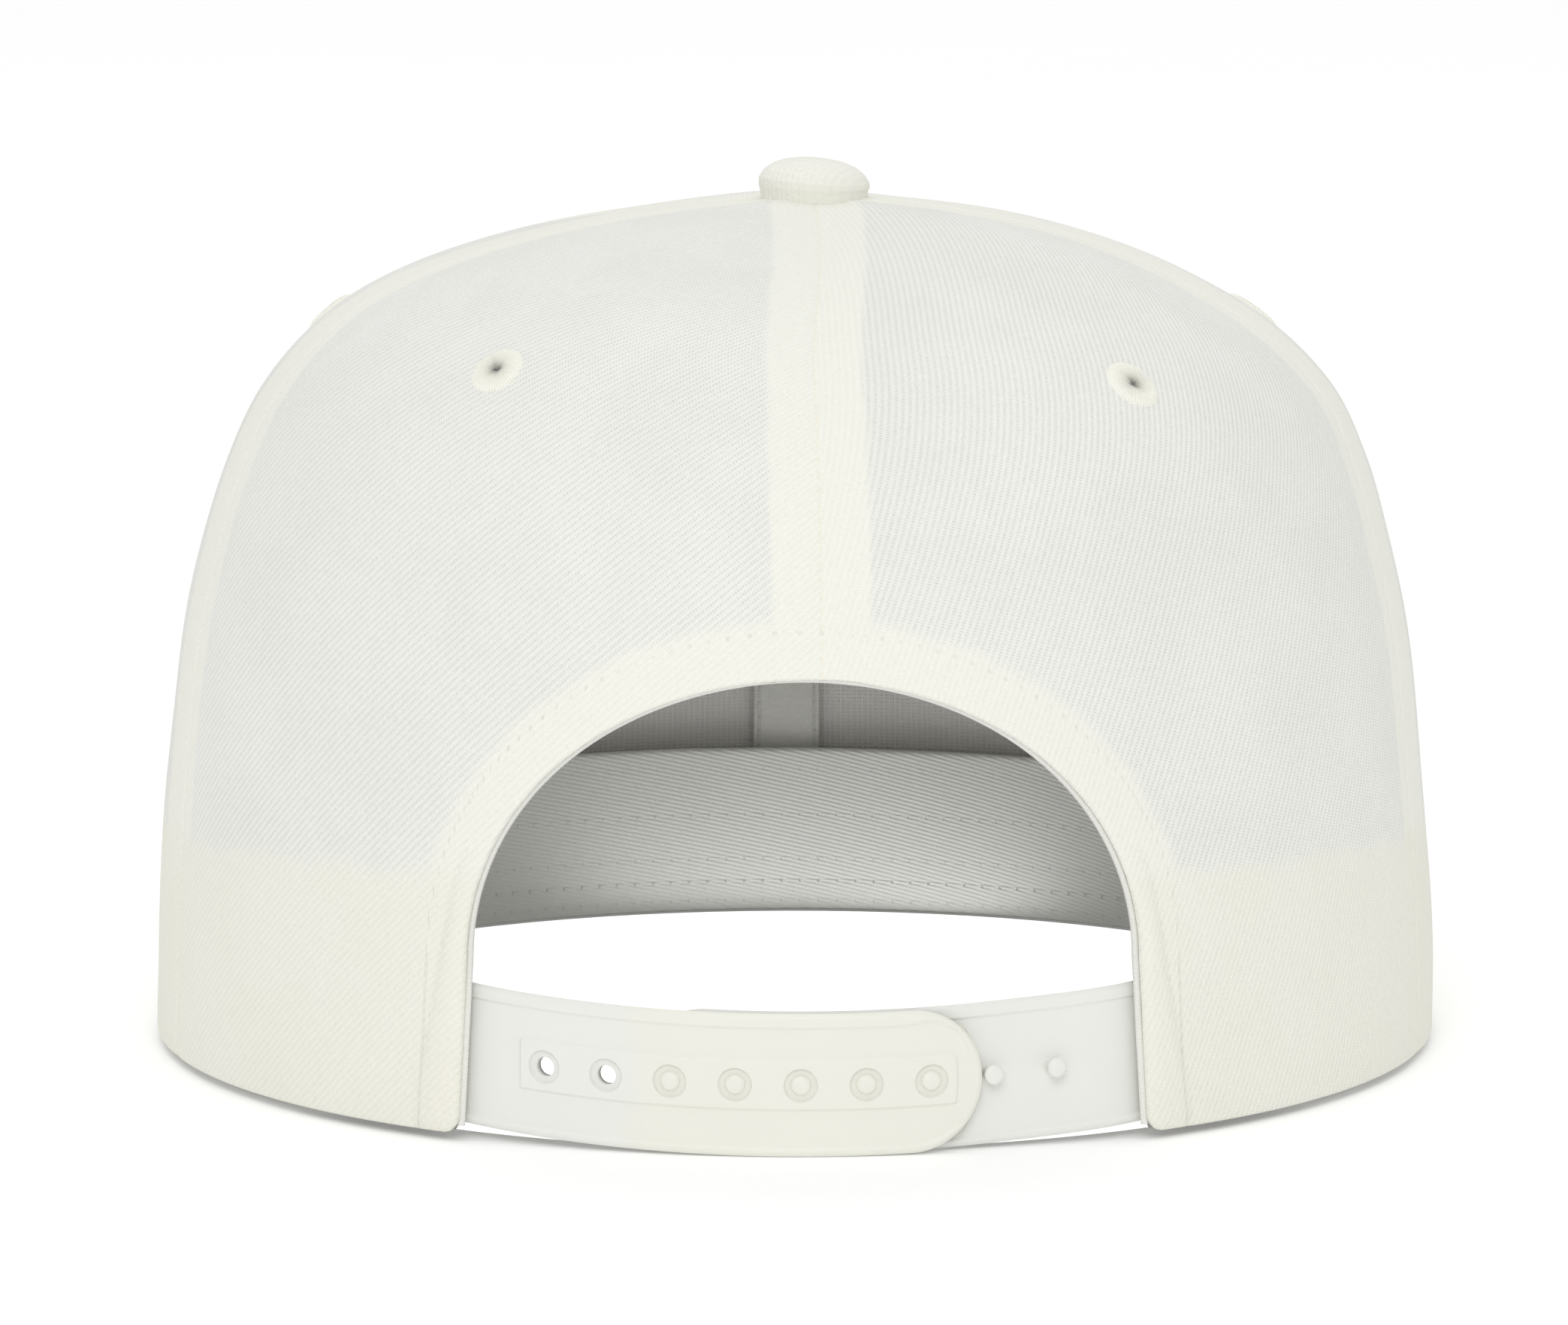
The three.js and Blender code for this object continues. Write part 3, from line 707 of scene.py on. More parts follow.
def crease_relief(arch, crease, edge):
    """Depth beside the arch: a raised roll from the edge to the crease and a valley along it."""
    raised = np.sin(math.pi * np.clip(arch / (arch - crease), 0, 1)) ** 0.6 * smooth(0, 1.5, edge)
    return 0.12 * np.exp(-((crease / 0.7) ** 2)) - 0.5 * raised


def turned_weave(across, along, turn):
    """UV map of ribs that are turned, in radians, from the direction along."""
    cosine, sine = math.cos(turn), math.sin(turn)
    return np.stack([across * cosine - along * sine, across * sine + along * cosine], axis=-1)


def hem_run(angle):
    """Angles along the hem from the foot of the arch to a seam, finer at both ends."""
    return spaced(NEAR_EDGE, angle * HALF_WIDTH, 0.95)[1:] / HALF_WIDTH


def panel_grid(name):
    """Azimuth and level of a panel's grid, the length along the arch at which each column starts,
    and the azimuths of both seams. Columns are spread evenly along the lower edge and at the top."""
    start, end, _ = PANELS[name]
    turn = 2 * math.pi
    from_hem, to_hem = (seam_azimuth(seam, 0.0) for seam in (start, end))
    lap = turn if to_hem <= from_hem else 0
    to_hem += lap
    if name == "rear_left":
        azimuth, level, run = arch_path(70)
        azimuth = azimuth + seam_azimuth(start, level) * (1 - smooth(0, 12, run))
        hem = azimuth[-1] + hem_run(to_hem - azimuth[-1])
        low_azimuth = np.concatenate([azimuth, hem])
        low_level = np.concatenate([level, 0 * hem])
        on_arch = np.concatenate([run, np.full(len(hem), -1.0)])
    elif name == "rear_right":
        azimuth, level, run = arch_path(70)
        azimuth = azimuth - seam_azimuth(end, level) * (1 - smooth(0, 12, run))
        hem = turn - azimuth[-1] - hem_run(turn - azimuth[-1] - from_hem)[::-1]
        low_azimuth = np.concatenate([hem, turn - azimuth[::-1]])
        low_level = np.concatenate([0 * hem, level[::-1]])
        on_arch = np.concatenate([np.full(len(hem), -1.0), run[::-1]])
    else:
        width = (to_hem - from_hem) * HALF_WIDTH
        low_azimuth = from_hem + spaced(NEAR_EDGE, width, 1.9) / HALF_WIDTH
        low_level = 0 * low_azimuth
        on_arch = np.full(len(low_azimuth), -1.0)
    top = level_at_radius(TOP_RADIUS)
    place = running(skin(low_azimuth, low_level))
    place /= place[-1]
    near = np.asarray(NEAR_EDGE)[:, None]
    length = np.interp(top, LEVELS, MERIDIAN) - np.interp(low_level, LEVELS, MERIDIAN)
    fine = NEAR_EDGE[-1] / length
    share = np.concatenate([near / length, fine + (1 - fine) * np.linspace(0, 1, PANEL_ROWS)[1:, None]])
    level = low_level + (top - low_level) * share
    seam_from, seam_to = seam_azimuth(start, level), seam_azimuth(end, level) + lap
    low_from, low_to = seam_azimuth(start, low_level), seam_azimuth(end, low_level) + lap
    low_place = (low_azimuth - low_from) / (low_to - low_from)
    azimuth = seam_from + (seam_to - seam_from) * (low_place + (place - low_place) * share**LEAVING)
    return azimuth, level, np.maximum(on_arch, 0), (seam_from, seam_to)


def panel_piece(name, material):
    """Closed shell: the inner face from the top down, round the turned edge at the hem and the
    arch, and the outer face up again. Both faces meet at the seams and under the button."""
    start, end, rib_turn = PANELS[name]
    azimuth, level, run, (seam_from, seam_to) = panel_grid(name)
    radius = ring_radius(azimuth, level)
    beside = np.stack([azimuth - seam_from, seam_to - azimuth]) * radius
    seam = beside.min(axis=0)
    halves = np.array([TAPE_SHOWS[start], TAPE_SHOWS[end]])[:, None, None]
    if name.startswith("side"):
        halves = np.maximum(halves, SIDE_SHOWS)
    upward = np.interp(level, LEVELS, MERIDIAN)
    height = CROWN_HEIGHT * column("height", level)
    arch = arch_distance(skin(azimuth, level))
    edge = np.minimum(upward, arch)
    crease = crease_distance(arch, height)
    low = 1 - smooth(26, 42, height)
    turned = roll(edge, PANEL_WALL / 2)
    if name.startswith("rear"):
        azimuth, level = round_corner(azimuth, level, arch, upward, 1 if name == "rear_left" else -1)
    outer = turned + seam_dip(seam) - settle(azimuth, level) * smooth(0, 12, edge)
    outer = outer + low * crease_relief(arch, crease, edge)
    joined = smooth(0, 0.7, seam) * smooth(0, 1.5, MERIDIAN_END - upward)
    inner = outer + (PANEL_WALL - 2 * turned) * joined
    points = np.concatenate([crown(azimuth, level, inner)[::-1], crown(azimuth, level, outer)[1:]])
    sideways = (azimuth - (seam_from + seam_to) / 2) * radius
    weave = turned_weave(-sideways, upward, math.radians(rib_turn))
    from_rear = np.degrees(np.abs((azimuth + math.pi) % (2 * math.pi) - math.pi))
    fields = {
        "seam_mm": seam,
        "tape_mm": (beside - halves).min(axis=0),
        "up_mm": upward,
        "arch_mm": arch,
        "arch_run": run + 0 * arch,
        "crease_mm": np.where(low > 0.02, np.abs(crease), FAR),
        "low_mm": height - BAND_SHOWS + 3.5 * smooth(35, 78, from_rear),
    }
    both = {field: np.concatenate([values[::-1], values[1:]]) for field, values in fields.items()}
    piece = surface(f"cloth_{name}", points, np.concatenate([weave[::-1], weave[1:]]), both)
    dress(piece, material, "twill", f"panel_{name}")


def arch_distance(points):
    """Distance from the arch outline, seen from behind, widened by the wall's slant. Along the
    half ellipse it is the outline's own value over its slope; beside it, the sideways distance."""
    across = np.abs(points[..., 0])
    high = points[..., 2] - HEM_HEIGHT - ARCH_SPRING
    half, rise = ARCH_HALF_WIDTH, ARCH_TOP - ARCH_SPRING
    value = np.sqrt((across / half) ** 2 + (high / rise) ** 2)
    slope = np.hypot(across / half**2, high / rise**2) / np.maximum(value, 1e-6)
    over = (value - 1) / np.maximum(slope, 1e-6)
    flare = (ARCH_HEM_HALF_WIDTH - ARCH_HALF_WIDTH) / ARCH_SPRING
    slant = np.cos(np.arcsin(np.clip(across / HALF_WIDTH, 0, 0.99)))
    beside = (across - half + flare * high) / slant
    widened = over * (1 + (1 / slant - 1) * np.minimum(across / half, 1) ** 2)
    distance = np.where(high > 0, widened, beside)
    return np.where(points[..., 1] > CROWN_Y, np.maximum(distance, 0), FAR)


# Trim of the crown

# Eyelet: distance from its centre and height over the cloth, and the threads round it
EYELET_HUMP = np.array([
    (0.0, 0.0), (0.5, 0.16), (1.2, 0.42), (2.2, 0.6), (3.2, 0.52), (3.8, 0.25), (4.15, -0.35),
])
EYELET_THREADS = 52

# Button: radius and height over the crown's top
BUTTON_PROFILE = np.array([
    (0.0, 5.6), (2.2, 5.5), (4.2, 5.15), (5.9, 4.5), (7.2, 3.5), (7.9, 2.4), (7.95, 1.5), (7.7, 0.7),
    (7.6, -1.2),
])


def eyelet_piece(name, material):
    """Embroidered ring: a low round hump over the distance from its centre, ridged by threads,
    that closes on a small slit; the slit is painted shade in the thread's colour, not an opening."""
    start, end, _ = PANELS[name]
    across, high = EYELETS[name]
    level = level_at_height(high * CROWN_HEIGHT)
    first, last = seam_azimuth(start, level), seam_azimuth(end, level)
    last = last + (2 * math.pi if last < first else 0)
    azimuth = first + (last - first) * across
    radius = ring_radius(azimuth, level)
    rise = np.interp(level + 0.01, LEVELS, MERIDIAN) - np.interp(level, LEVELS, MERIDIAN)
    turn, out = np.meshgrid(np.linspace(0, 2 * math.pi, 385), np.linspace(0, 1, 30))
    reach = EYELET_HUMP[-1, 0] * out
    threads = 0.5 + 0.5 * np.cos(EYELET_THREADS * turn + 0.6 * np.sin(3 * turn))
    hump = np.interp(reach, *EYELET_HUMP.T) + 0.09 * threads * np.sin(math.pi * np.clip(out * 1.05, 0, 1))
    ragged = 1 + 0.012 * np.cos(EYELET_THREADS * turn) + 0.02 * np.sin(2 * turn + 0.7)
    side = reach * ragged * np.cos(turn)
    upward = reach * ragged * np.sin(turn)
    # Distance from the slit in the middle, which the thread's finish darkens with painted shade
    slit = np.hypot(side / 0.9, (upward - 0.25 * side) / 0.24)
    azimuth, level = azimuth - side / radius, level + 0.01 * upward / rise
    points = crown(azimuth, level, -hump - settle(azimuth, level))
    weave = np.stack([turn * EYELET_THREADS / math.pi, reach], axis=-1)
    piece = surface(f"stitched_eyelet_{name}", points, weave, {"slit": slit})
    thicken(piece, 0.25)
    dress(piece, material, "thread", f"eyelet_{name}")


def button_piece(material):
    """Covered button: a dome turned round the crown's axis, a little uneven, tucked under at its
    edge."""
    turn, out = np.meshgrid(np.linspace(0, 2 * math.pi, 129), np.linspace(0, 1, 44))
    place = np.linspace(0, 1, len(BUTTON_PROFILE))
    radius, height = (np.interp(out, place, values) for values in BUTTON_PROFILE.T)
    tilt = 0.55 * np.sin(turn) * radius / 8 + 0.12 * np.sin(3 * turn) * out
    height = height + tilt * smooth(0.3, 2.5, height)
    radius = radius * (1.03 + 0.012 * np.sin(3 * turn + 1))
    base = HEM_HEIGHT + CROWN_HEIGHT
    points = np.stack(
        [radius * np.sin(turn) + TOP_SHIFT, radius * np.cos(turn) + CROWN_Y, base + height],
        axis=-1,
    )
    weave = np.stack([radius * np.sin(turn - 0.5), radius * np.cos(turn - 0.5) + 2.0 * height], axis=-1)
    fields = {"tape_mm": -FAR, "up_mm": 0.0, "arch_run": 0.0}
    fields.update({field: FAR for field in ("seam_mm", "arch_mm", "crease_mm", "low_mm")})
    piece = surface("covered_button", points[::-1], weave[::-1], fields)
    smoother = piece.modifiers.new("Smooth", "SUBSURF")
    smoother.levels = smoother.render_levels = 1
    dress(piece, material, "twill", "button")


def strip_on_crown(name, seam, bottom, top, inset, half_width):
    """Strip of cloth that follows a seam up the crown at a depth under the skin."""
    rows, columns = np.linspace(bottom, top, 120), np.linspace(-half_width, half_width, 25)
    level, across = np.meshgrid(rows, columns, indexing="ij")
    middle = seam_azimuth(seam, level)
    azimuth = middle + across / ring_radius(middle, level)
    points = crown(azimuth, level, np.full(azimuth.shape, inset))
    weave = np.stack([-across, np.interp(level, LEVELS, MERIDIAN)], axis=-1)
    return surface(name, points, weave, {"edge_mm": half_width - np.abs(across)})


def tape_piece(seam, material):
    half = SEAMS[seam][2] / 2
    inset = LINING_INSET + (LAYER_STEP if seam == "centre_front" else 0)
    bottom = level_at_height(ARCH_TOP + FACING_WIDTH + 1 if seam == "centre_back" else LINING_BOTTOM)
    top = level_at_radius(TAPE_END_RADIUS)
    piece = strip_on_crown(f"seam_tape_{seam}", seam, bottom, top, inset, half)
    thicken(piece, 0.7)
    dress(piece, material, "tape", f"tape_{seam}")


def stiffener_piece(side, material):
    start, end, _ = PANELS[f"front_{side}"]
    bottom, top = level_at_height(LINING_BOTTOM), level_at_radius(STIFFENER_END_RADIUS)
    level = np.linspace(bottom, top, 64)[:, None]
    first, last = seam_azimuth(start, level), seam_azimuth(end, level)
    margins = [0.2 if seam == "centre_front" else SEAMS[seam][2] / 2 + 0.4 for seam in (start, end)]
    first = first + margins[0] / ring_radius(first, level)
    last = last - margins[1] / ring_radius(last, level)
    azimuth = first + (last - first) * np.linspace(0, 1, 52)[None, :]
    level = np.broadcast_to(level, azimuth.shape)
    points = crown(azimuth, level, np.full(azimuth.shape, LINING_INSET))
    across = (azimuth - math.pi) * ring_radius(azimuth, level)
    weave = np.stack([across, np.interp(level, LEVELS, MERIDIAN)], axis=-1)
    piece = surface(f"buckram_{side}", points, weave)
    thicken(piece, 0.6)
    dress(piece, material, "stiffener", f"stiffener_{side}")


BEAD = 0.6


def facing_piece(material):
    """Facing behind the arch: a strip that starts in a thin roll at the edge of the opening and
    runs out under the rear panels."""
    azimuth, level, run = (line[:-6] for line in arch_path(90))
    azimuth = np.concatenate([-azimuth[::-1], azimuth[1:]])
    level = np.concatenate([level[::-1], level[1:]])
    run = np.concatenate([-run[::-1], run[1:]])
    edge = skin(azimuth, level)
    side, high = edge[:, 0], edge[:, 2] - HEM_HEIGHT
    over = np.maximum(high - ARCH_SPRING, 0)
    outward = np.stack([side / ARCH_HALF_WIDTH**2, over / (ARCH_TOP - ARCH_SPRING) ** 2])
    outward /= np.maximum(np.linalg.norm(outward, axis=0), 1e-9)
    # Closed profile, as distance out from the edge and depth under the skin: inner face, bead and
    # outer face
    turn = np.linspace(0, math.pi, 14)
    flat = np.linspace(0.7, FACING_WIDTH, 20)
    out = np.concatenate([flat[::-1], 0.35 - BEAD * np.sin(turn), flat, flat[-1:]])[:, None]
    inner, outer = LINING_INSET + 0.95, LINING_INSET + 0.25
    deep = np.concatenate([0 * flat + inner, 1.8 + BEAD * np.cos(turn), 0 * flat + outer, [inner]])
    across = side + outward[0] * out
    up = high + outward[1] * out
    level = level_at_height(up)
    azimuth = np.arcsin(np.clip(across / (HALF_WIDTH * column("left", level)), -0.999, 0.999))
    points = crown(azimuth, level, np.broadcast_to(deep[:, None], azimuth.shape))
    points[..., 2] = np.where(up < 0, HEM_HEIGHT + up, points[..., 2])
    out, run = np.broadcast_arrays(out, run)
    weave = np.stack([out, run], axis=-1)
    piece = surface("arch_edge_facing", points, weave, {"edge_mm": FACING_WIDTH - out})
    dress(piece, material, "tape", "arch_facing")


def sweatband_piece(material):
    """Sweatband: a strip that leans in, tucked inside the strap's ends at the sides of the arch."""
    end_tuck = LINING + STRAP_WALL + 2 * LAYER_GAP
    end = math.asin(ARCH_HEM_HALF_WIDTH / (HALF_WIDTH - LINING_INSET - end_tuck - CLOTH))
    strap_end = math.asin((ARCH_HEM_HALF_WIDTH + FACING_WIDTH + STRAP_TUCK / 2) / HALF_WIDTH)
    azimuth = np.linspace(end, 2 * math.pi - end, 420)[None, :]
    rows = [[0, 0.01, 0.025, 0.05], np.linspace(0.08, 0.92, 34), [0.95, 0.975, 0.99, 1.0]]
    share = np.concatenate(rows)[:, None]
    from_rear = np.minimum(azimuth, 2 * math.pi - azimuth)
    tuck = end_tuck * (1 - smooth(strap_end, 1.4 * strap_end, from_rear))
    lean = BAND_LEAN * share * (1 - tuck / (2 * end_tuck))
    fold = roll(np.minimum(share, 1 - share) * BAND_HEIGHT, 0.8)
    uneven = 0.12 * np.sin(azimuth * 23) * share + 0.1 * np.sin(azimuth * 11 + 1)
    height = BAND_BOTTOM - HEM_HEIGHT + share * BAND_HEIGHT + 0.15 * np.sin(azimuth * 5) * share
    inset = LINING_INSET + tuck + lean + CLOTH - 0.6 * fold + uneven
    points = wall(azimuth + 0 * share, height, inset)
    run = np.broadcast_to(azimuth * HALF_WIDTH, inset.shape)
    weave = np.stack([run, np.broadcast_to(share * BAND_HEIGHT, inset.shape)], axis=-1)
    piece = surface("sweatband_cloth", points[:, ::-1], weave[:, ::-1])
    thicken(piece, 1.0)
    dress(piece, material, "sweatband", "sweatband")


# Peak

def peak_piece(material):
    """Flat peak: a grid between the crown's hem and a superellipse front edge."""
    corner = skin(np.array(math.pi - PEAK_SPAN), np.array(0.0))
    length = FRONT_DEPTH + PEAK_REACH + corner[1] - CROWN_Y
    turn = np.linspace(0, math.pi, 241)
    power = 2 / PEAK_FULLNESS
    half, length = PEAK_HALF_WIDTH - PEAK_MARGIN, length - PEAK_MARGIN
    front = np.stack([
        half * np.sign(np.cos(turn)) * np.abs(np.cos(turn)) ** power,
        corner[1] - length * np.sin(turn) ** power,
    ], axis=-1)
    run = running(front)
    even = np.linspace(0, run[-1], len(turn))
    front = np.stack([np.interp(even, run, front[:, side]) for side in (0, 1)], axis=-1)
    azimuth = math.pi + PEAK_SPAN * (2 * even / run[-1] - 1)
    hem = crown(azimuth, 0 * azimuth, np.full(azimuth.shape, CLOTH + 0.1))[:, :2]
    share = np.concatenate([np.linspace(0, 0.97, 48), [0.985, 1.0]])[:, None, None]
    plan = hem[None] + (front - hem)[None] * share
    level = np.full(plan.shape[:2] + (1,), PEAK_THICKNESS / 2)
    points = np.concatenate([plan, level], axis=-1)
    rim = np.linalg.norm(front[None] - plan, axis=-1)
    weave = turned_weave(plan[..., 0], plan[..., 1], PEAK_RIB_TURN)
    fields = {"rim_mm": rim, "rim_run": np.broadcast_to(even[None], rim.shape)}
    piece = surface("peak_cloth", points, weave, fields)
    thicken(piece, PEAK_THICKNESS - 0.1, offset=0.0, bevel=0.8)
    dress(piece, material, "twill", "peak")


# Snap strap

# Half sides of the grid's squares round a hole: the hole, the sunk ring and the end of both
HOLE = 1.35
RECESS = 2.3
HOLE_REACH = 3.1
HOLE_LINES = np.array((
    0.2, 0.45, 0.7, 0.92, 1.12, HOLE, 1.45, 1.65, 1.9, 2.15, 2.25, 2.35, 2.45, 2.7, 2.9, HOLE_REACH,
))
RIM_TOP = 2.05
RIM_LOW = 1.1
# Grid lines across a step of the rail or the rim, and beside the outer edge
STEP_LINES = np.array((-0.3, -0.18, -0.06, 0.06, 0.18, 0.3))
RAIL_EDGE = RAIL["width"] / 2 + STEP_LINES
OUTER_EDGE = np.array((0.0, 0.06, 0.16, 0.3, 0.5, 0.75))


def fill(lines, step):
    """Grid lines with even steps between those that are further apart than a step."""
    lines = np.unique(np.round(lines, 6))
    gaps = np.maximum(np.ceil(np.diff(lines) / step).astype(int), 1)
    filled = [np.linspace(a, b, n, endpoint=False) for a, b, n in zip(lines, lines[1:], gaps)]
    return np.concatenate(filled + [lines[-1:]])


def bend_to_circle(along, across, centre, reach, start):
    """Shift that turns the grid's squares round a centre into circles, fading out from start to
    reach, and the half side of each point's square."""
    beside = along - centre
    square = np.maximum(np.abs(beside), np.abs(across))
    circle = np.maximum(np.hypot(beside, across), 1e-9)
    weight = np.clip((reach - square) / (reach - start), 0, 1)
    shift = weight * (square / circle - 1)
    return shift * beside, shift * across, square


def strap_lines(sewn_end, tip, holes, rail):
    """Grid lines of the strap: fine round holes, at the rail, the rims and the round tip."""
    half = STRAP_WIDTH / 2
    toward = 1.0 if tip > sewn_end else -1.0
    spots = np.concatenate([-HOLE_LINES, [0.0], HOLE_LINES])
    edges = np.concatenate([OUTER_EDGE, RIM_LOW + STEP_LINES])
    lengths = [np.array([sewn_end]), tip - toward * edges]
    lengths += [hole + spots for hole in holes]
    widths = [edges - half, half - np.concatenate([OUTER_EDGE, RIM_TOP + STEP_LINES])]
    if rail:
        lengths += [rail["start"] + STEP_LINES, rail["end"] - STEP_LINES]
        widths += [spots, RAIL_EDGE, -RAIL_EDGE]
    return fill(np.concatenate(lengths), 0.5), fill(np.concatenate(widths), 0.42)


def strap_middle(length):
    """Height of the strap's centre line over the hem: it rises towards the sewn ends."""
    return STRAP_BOTTOM + STRAP_RISE * (length / STRAP_END) ** 2 + STRAP_WIDTH / 2 - HEM_HEIGHT


def strap_sheet(name, node, material, sewn_end, tip, inset_at, holes=(), rail=None):
    """Moulded strap: a grid in length and width whose lines bend to circles round each hole and
    at the round tip, raised by a rim, a rail and sunk rings, and laid on the wall of the crown."""
    toward = 1.0 if tip > sewn_end else -1.0
    half = STRAP_WIDTH / 2
    along, across = np.meshgrid(*strap_lines(sewn_end, tip, holes, rail))
    keep = np.ones(np.subtract(along.shape, 1), dtype=bool)
    shift_along, shift_across = np.zeros(along.shape), np.zeros(along.shape)
    recess = np.zeros(along.shape)
    for hole in holes:
        step_along, step_across, square = bend_to_circle(along, across, hole, HOLE_REACH, 2.5)
        shift_along += step_along
        shift_across += step_across
        middle = (square[:-1, :-1] + square[1:, 1:] + square[:-1, 1:] + square[1:, :-1]) / 4
        keep &= middle > HOLE * 0.97
        recess = np.maximum(recess, 1 - smooth(RECESS - 0.06, RECESS + 0.06, square))
    past = (along - tip) * toward + half
    square = np.maximum(np.abs(past), np.abs(across))
    weight = smooth(4.5, half, square) * (past > 0)
    circle = np.maximum(np.hypot(past, across), 1e-9)
    flat_along = along + shift_along + weight * toward * past * (square / circle - 1)
    flat_across = across + shift_across + weight * across * (square / circle - 1)
    edge = np.where(past > 0, half - square, half - np.abs(across))
    rim_width = RIM_LOW + (RIM_TOP - RIM_LOW) * (across > 0) * (1 - smooth(-1, 5, past))
    rim = 1 - smooth(-0.25, 0.25, edge - rim_width)
    relief = 0.3 * rim - 0.3 * (1 - smooth(0.0, 0.7, edge)) ** 2
    if rail:
        sides = rail["width"] / 2 - np.abs(across), rail["start"] - along, along - rail["end"]
        within = math.prod(smooth(-0.2, 0.2, inside) for inside in sides)
        relief = relief + rail["stand"] * within - (rail["stand"] + 0.1) * recess
    height = strap_middle(flat_along) + flat_across
    points = wall(flat_along / STRAP_RADIUS, height, inset_at(flat_along) - relief)
    weave = np.stack([flat_along, flat_across], axis=-1)
    # Slope of the relief across the strap: the plastic's colour turns it into painted shade where the
    # relief faces down and a painted highlight where it faces up; the recess field also paints shade into
    # the sunk rings
    slope = np.gradient(relief, axis=0) / np.maximum(np.gradient(flat_across, axis=0), 0.02)
    double = INNER_TIP - flat_along if rail else -FAR
    fields = {"recess": recess, "double_mm": double, "slope": np.clip(slope, -1, 1)}
    piece = surface(name, points, weave, fields, keep)
    thicken(piece, STRAP_WALL)
    dress(piece, material, "strap", node)


def outer_inset(length):
    return np.full(np.shape(length), STRAP_INSET)


def inner_inset(length):
    """The inner part runs behind the outer one and comes out to its depth past its tip."""
    past = smooth(2, STRAP_END + OUTER_TIP - STRAP_TUCK, OUTER_TIP - length)
    return STRAP_INSET + STRAP_STEP * (1 - past)


# Stud: radius and height over the inner part
STUD_HEAD = STRAP_STEP + 0.5
STUD_PROFILE = np.array([
    (1.15, -0.6), (1.15, 0.0), (1.1, STUD_HEAD - 1.2), (1.25, STUD_HEAD - 0.95),
    (1.42, STUD_HEAD - 0.75), (1.45, STUD_HEAD - 0.58), (1.36, STUD_HEAD - 0.34),
    (1.12, STUD_HEAD - 0.14), (0.75, STUD_HEAD - 0.04), (0.38, STUD_HEAD), (0.0, STUD_HEAD + 0.01),
])


def stud_piece(order, material):
    """Stud: a short shank with a round head, turned round the strap's normal."""
    length = FIRST_HOLE - (FIRST_STUD + order) * SNAP_PITCH
    azimuth = length / STRAP_RADIUS
    face = inner_inset(np.array(length))
    turn, out = np.meshgrid(np.linspace(0, 2 * math.pi, 49), np.arange(len(STUD_PROFILE)))
    radius, stand = STUD_PROFILE[out, 0], STUD_PROFILE[out, 1]
    height = strap_middle(length)
    centre = wall(np.array(azimuth), np.array(height), face)
    step = 1e-3
    low = np.array(STRAP_WIDTH / 4)
    side = wall(np.array(azimuth + step), low, face) - wall(np.array(azimuth - step), low, face)
    side /= np.linalg.norm(side)
    up = np.array([0.0, 0.0, 1.0])
    right, over = radius * np.cos(turn), radius * np.sin(turn)
    parts = ((right, side), (over, up), (stand, np.cross(up, side)))
    points = centre + sum(share[..., None] * direction for share, direction in parts)
    weave = np.stack([length + right, over], axis=-1)
    # Painted highlight on the upper half of the head and painted shade on its lower half, through the
    # plastic's slope field
    slope = -0.6 * np.sin(turn) * np.clip(radius / 1.4, 0, 1) ** 2
    fields = {"recess": 0.0, "double_mm": length - OUTER_TIP, "slope": slope}
    piece = surface(f"snap_stud_{order + 1}", points, weave, fields)
    dress(piece, material, "strap", "strap_inner")


# Settings that a user would change

def number(name, description, default, **kind):
    return FloatProperty(name=name, description=description, default=default, **kind)


def colour(name, description, default):
    return FloatVectorProperty(name=name, description=description, default=default, subtype="COLOR")


class CapLooks(bpy.types.PropertyGroup):
    rib_pitch: number("Rib Pitch", "Spacing of the twill ribs in mm", 0.93)
    float_length: number("Float Length", "Length of one float in mm", 0.44)
    mesh_pitch: number("Mesh Pitch", "Spacing of the buckram threads in mm", 0.95)
    peak_row_spacing: number("Peak Rows", "Spacing of the stitch rows on the peak in mm", 6.6)
    cloth: colour("Cloth", "Cloth with tape behind it", (0.864, 0.864, 0.792))
    cloth_warm: colour("Cloth Over Sweatband", "Cloth over the sweatband", (0.85, 0.838, 0.745))
    cloth_cool: colour("Single Cloth", "Cloth with nothing behind it", (0.857, 0.858, 0.815))
    cloth_shade: colour("Single Cloth Shade", "Second tone of the single cloth", (0.828, 0.83, 0.783))
    seam_thread: colour("Seam Thread", "Thread that shows in the seams", (0.86, 0.82, 0.68))
    tape: colour("Tape", "Seam tape", (0.84, 0.835, 0.79))
    band: colour("Sweatband", "Sweatband", (0.85, 0.85, 0.82))
    buckram: colour("Buckram", "Stiffener", (0.92, 0.91, 0.88))
    thread: colour("Eyelet Thread", "Embroidery thread", (0.93, 0.925, 0.835))
    plastic: colour("Strap", "Strap plastic with the other part behind it", (0.845, 0.842, 0.765))
    plastic_cool: colour("Single Strap", "Strap plastic with nothing behind it", (0.83, 0.838, 0.795))
    floor: colour("Floor", "Floor", (0.97, 0.97, 0.97))


class CapStage(bpy.types.PropertyGroup):
    lens: number("Lens", "Focal length in mm", 200.0)
    distance: number("Distance", "Camera from the crown's axis", 1.28, unit="LENGTH")
    eye_height: number("Eye Height", "Camera over the floor", 0.2462, unit="LENGTH")
    aim_height: number("Aim Height", "Height of the aim", 0.0549, unit="LENGTH")
    turn: number("Turn", "Camera round the crown from straight behind", math.radians(0.8), subtype="ANGLE")
    aim_side: number("Aim Side", "Sideways aim", 0.0016, unit="LENGTH")
    sky: number("Sky", "Strength of the even light", 0.58)
    key: number("Key", "Power of the soft light over the camera in W", 6.6)
    top: number("Top", "Power of the wide light over the floor in W", 48.0)
    hollow: number("Hollow", "Power of the light inside the crown in W", 0.0066)
    glow: number("Floor Glow", "Light that the floor gives off", 0.13)
    stud_count: IntProperty(name="Studs", description="Studs on the inner strap", default=STUD_COUNT)


# Operators

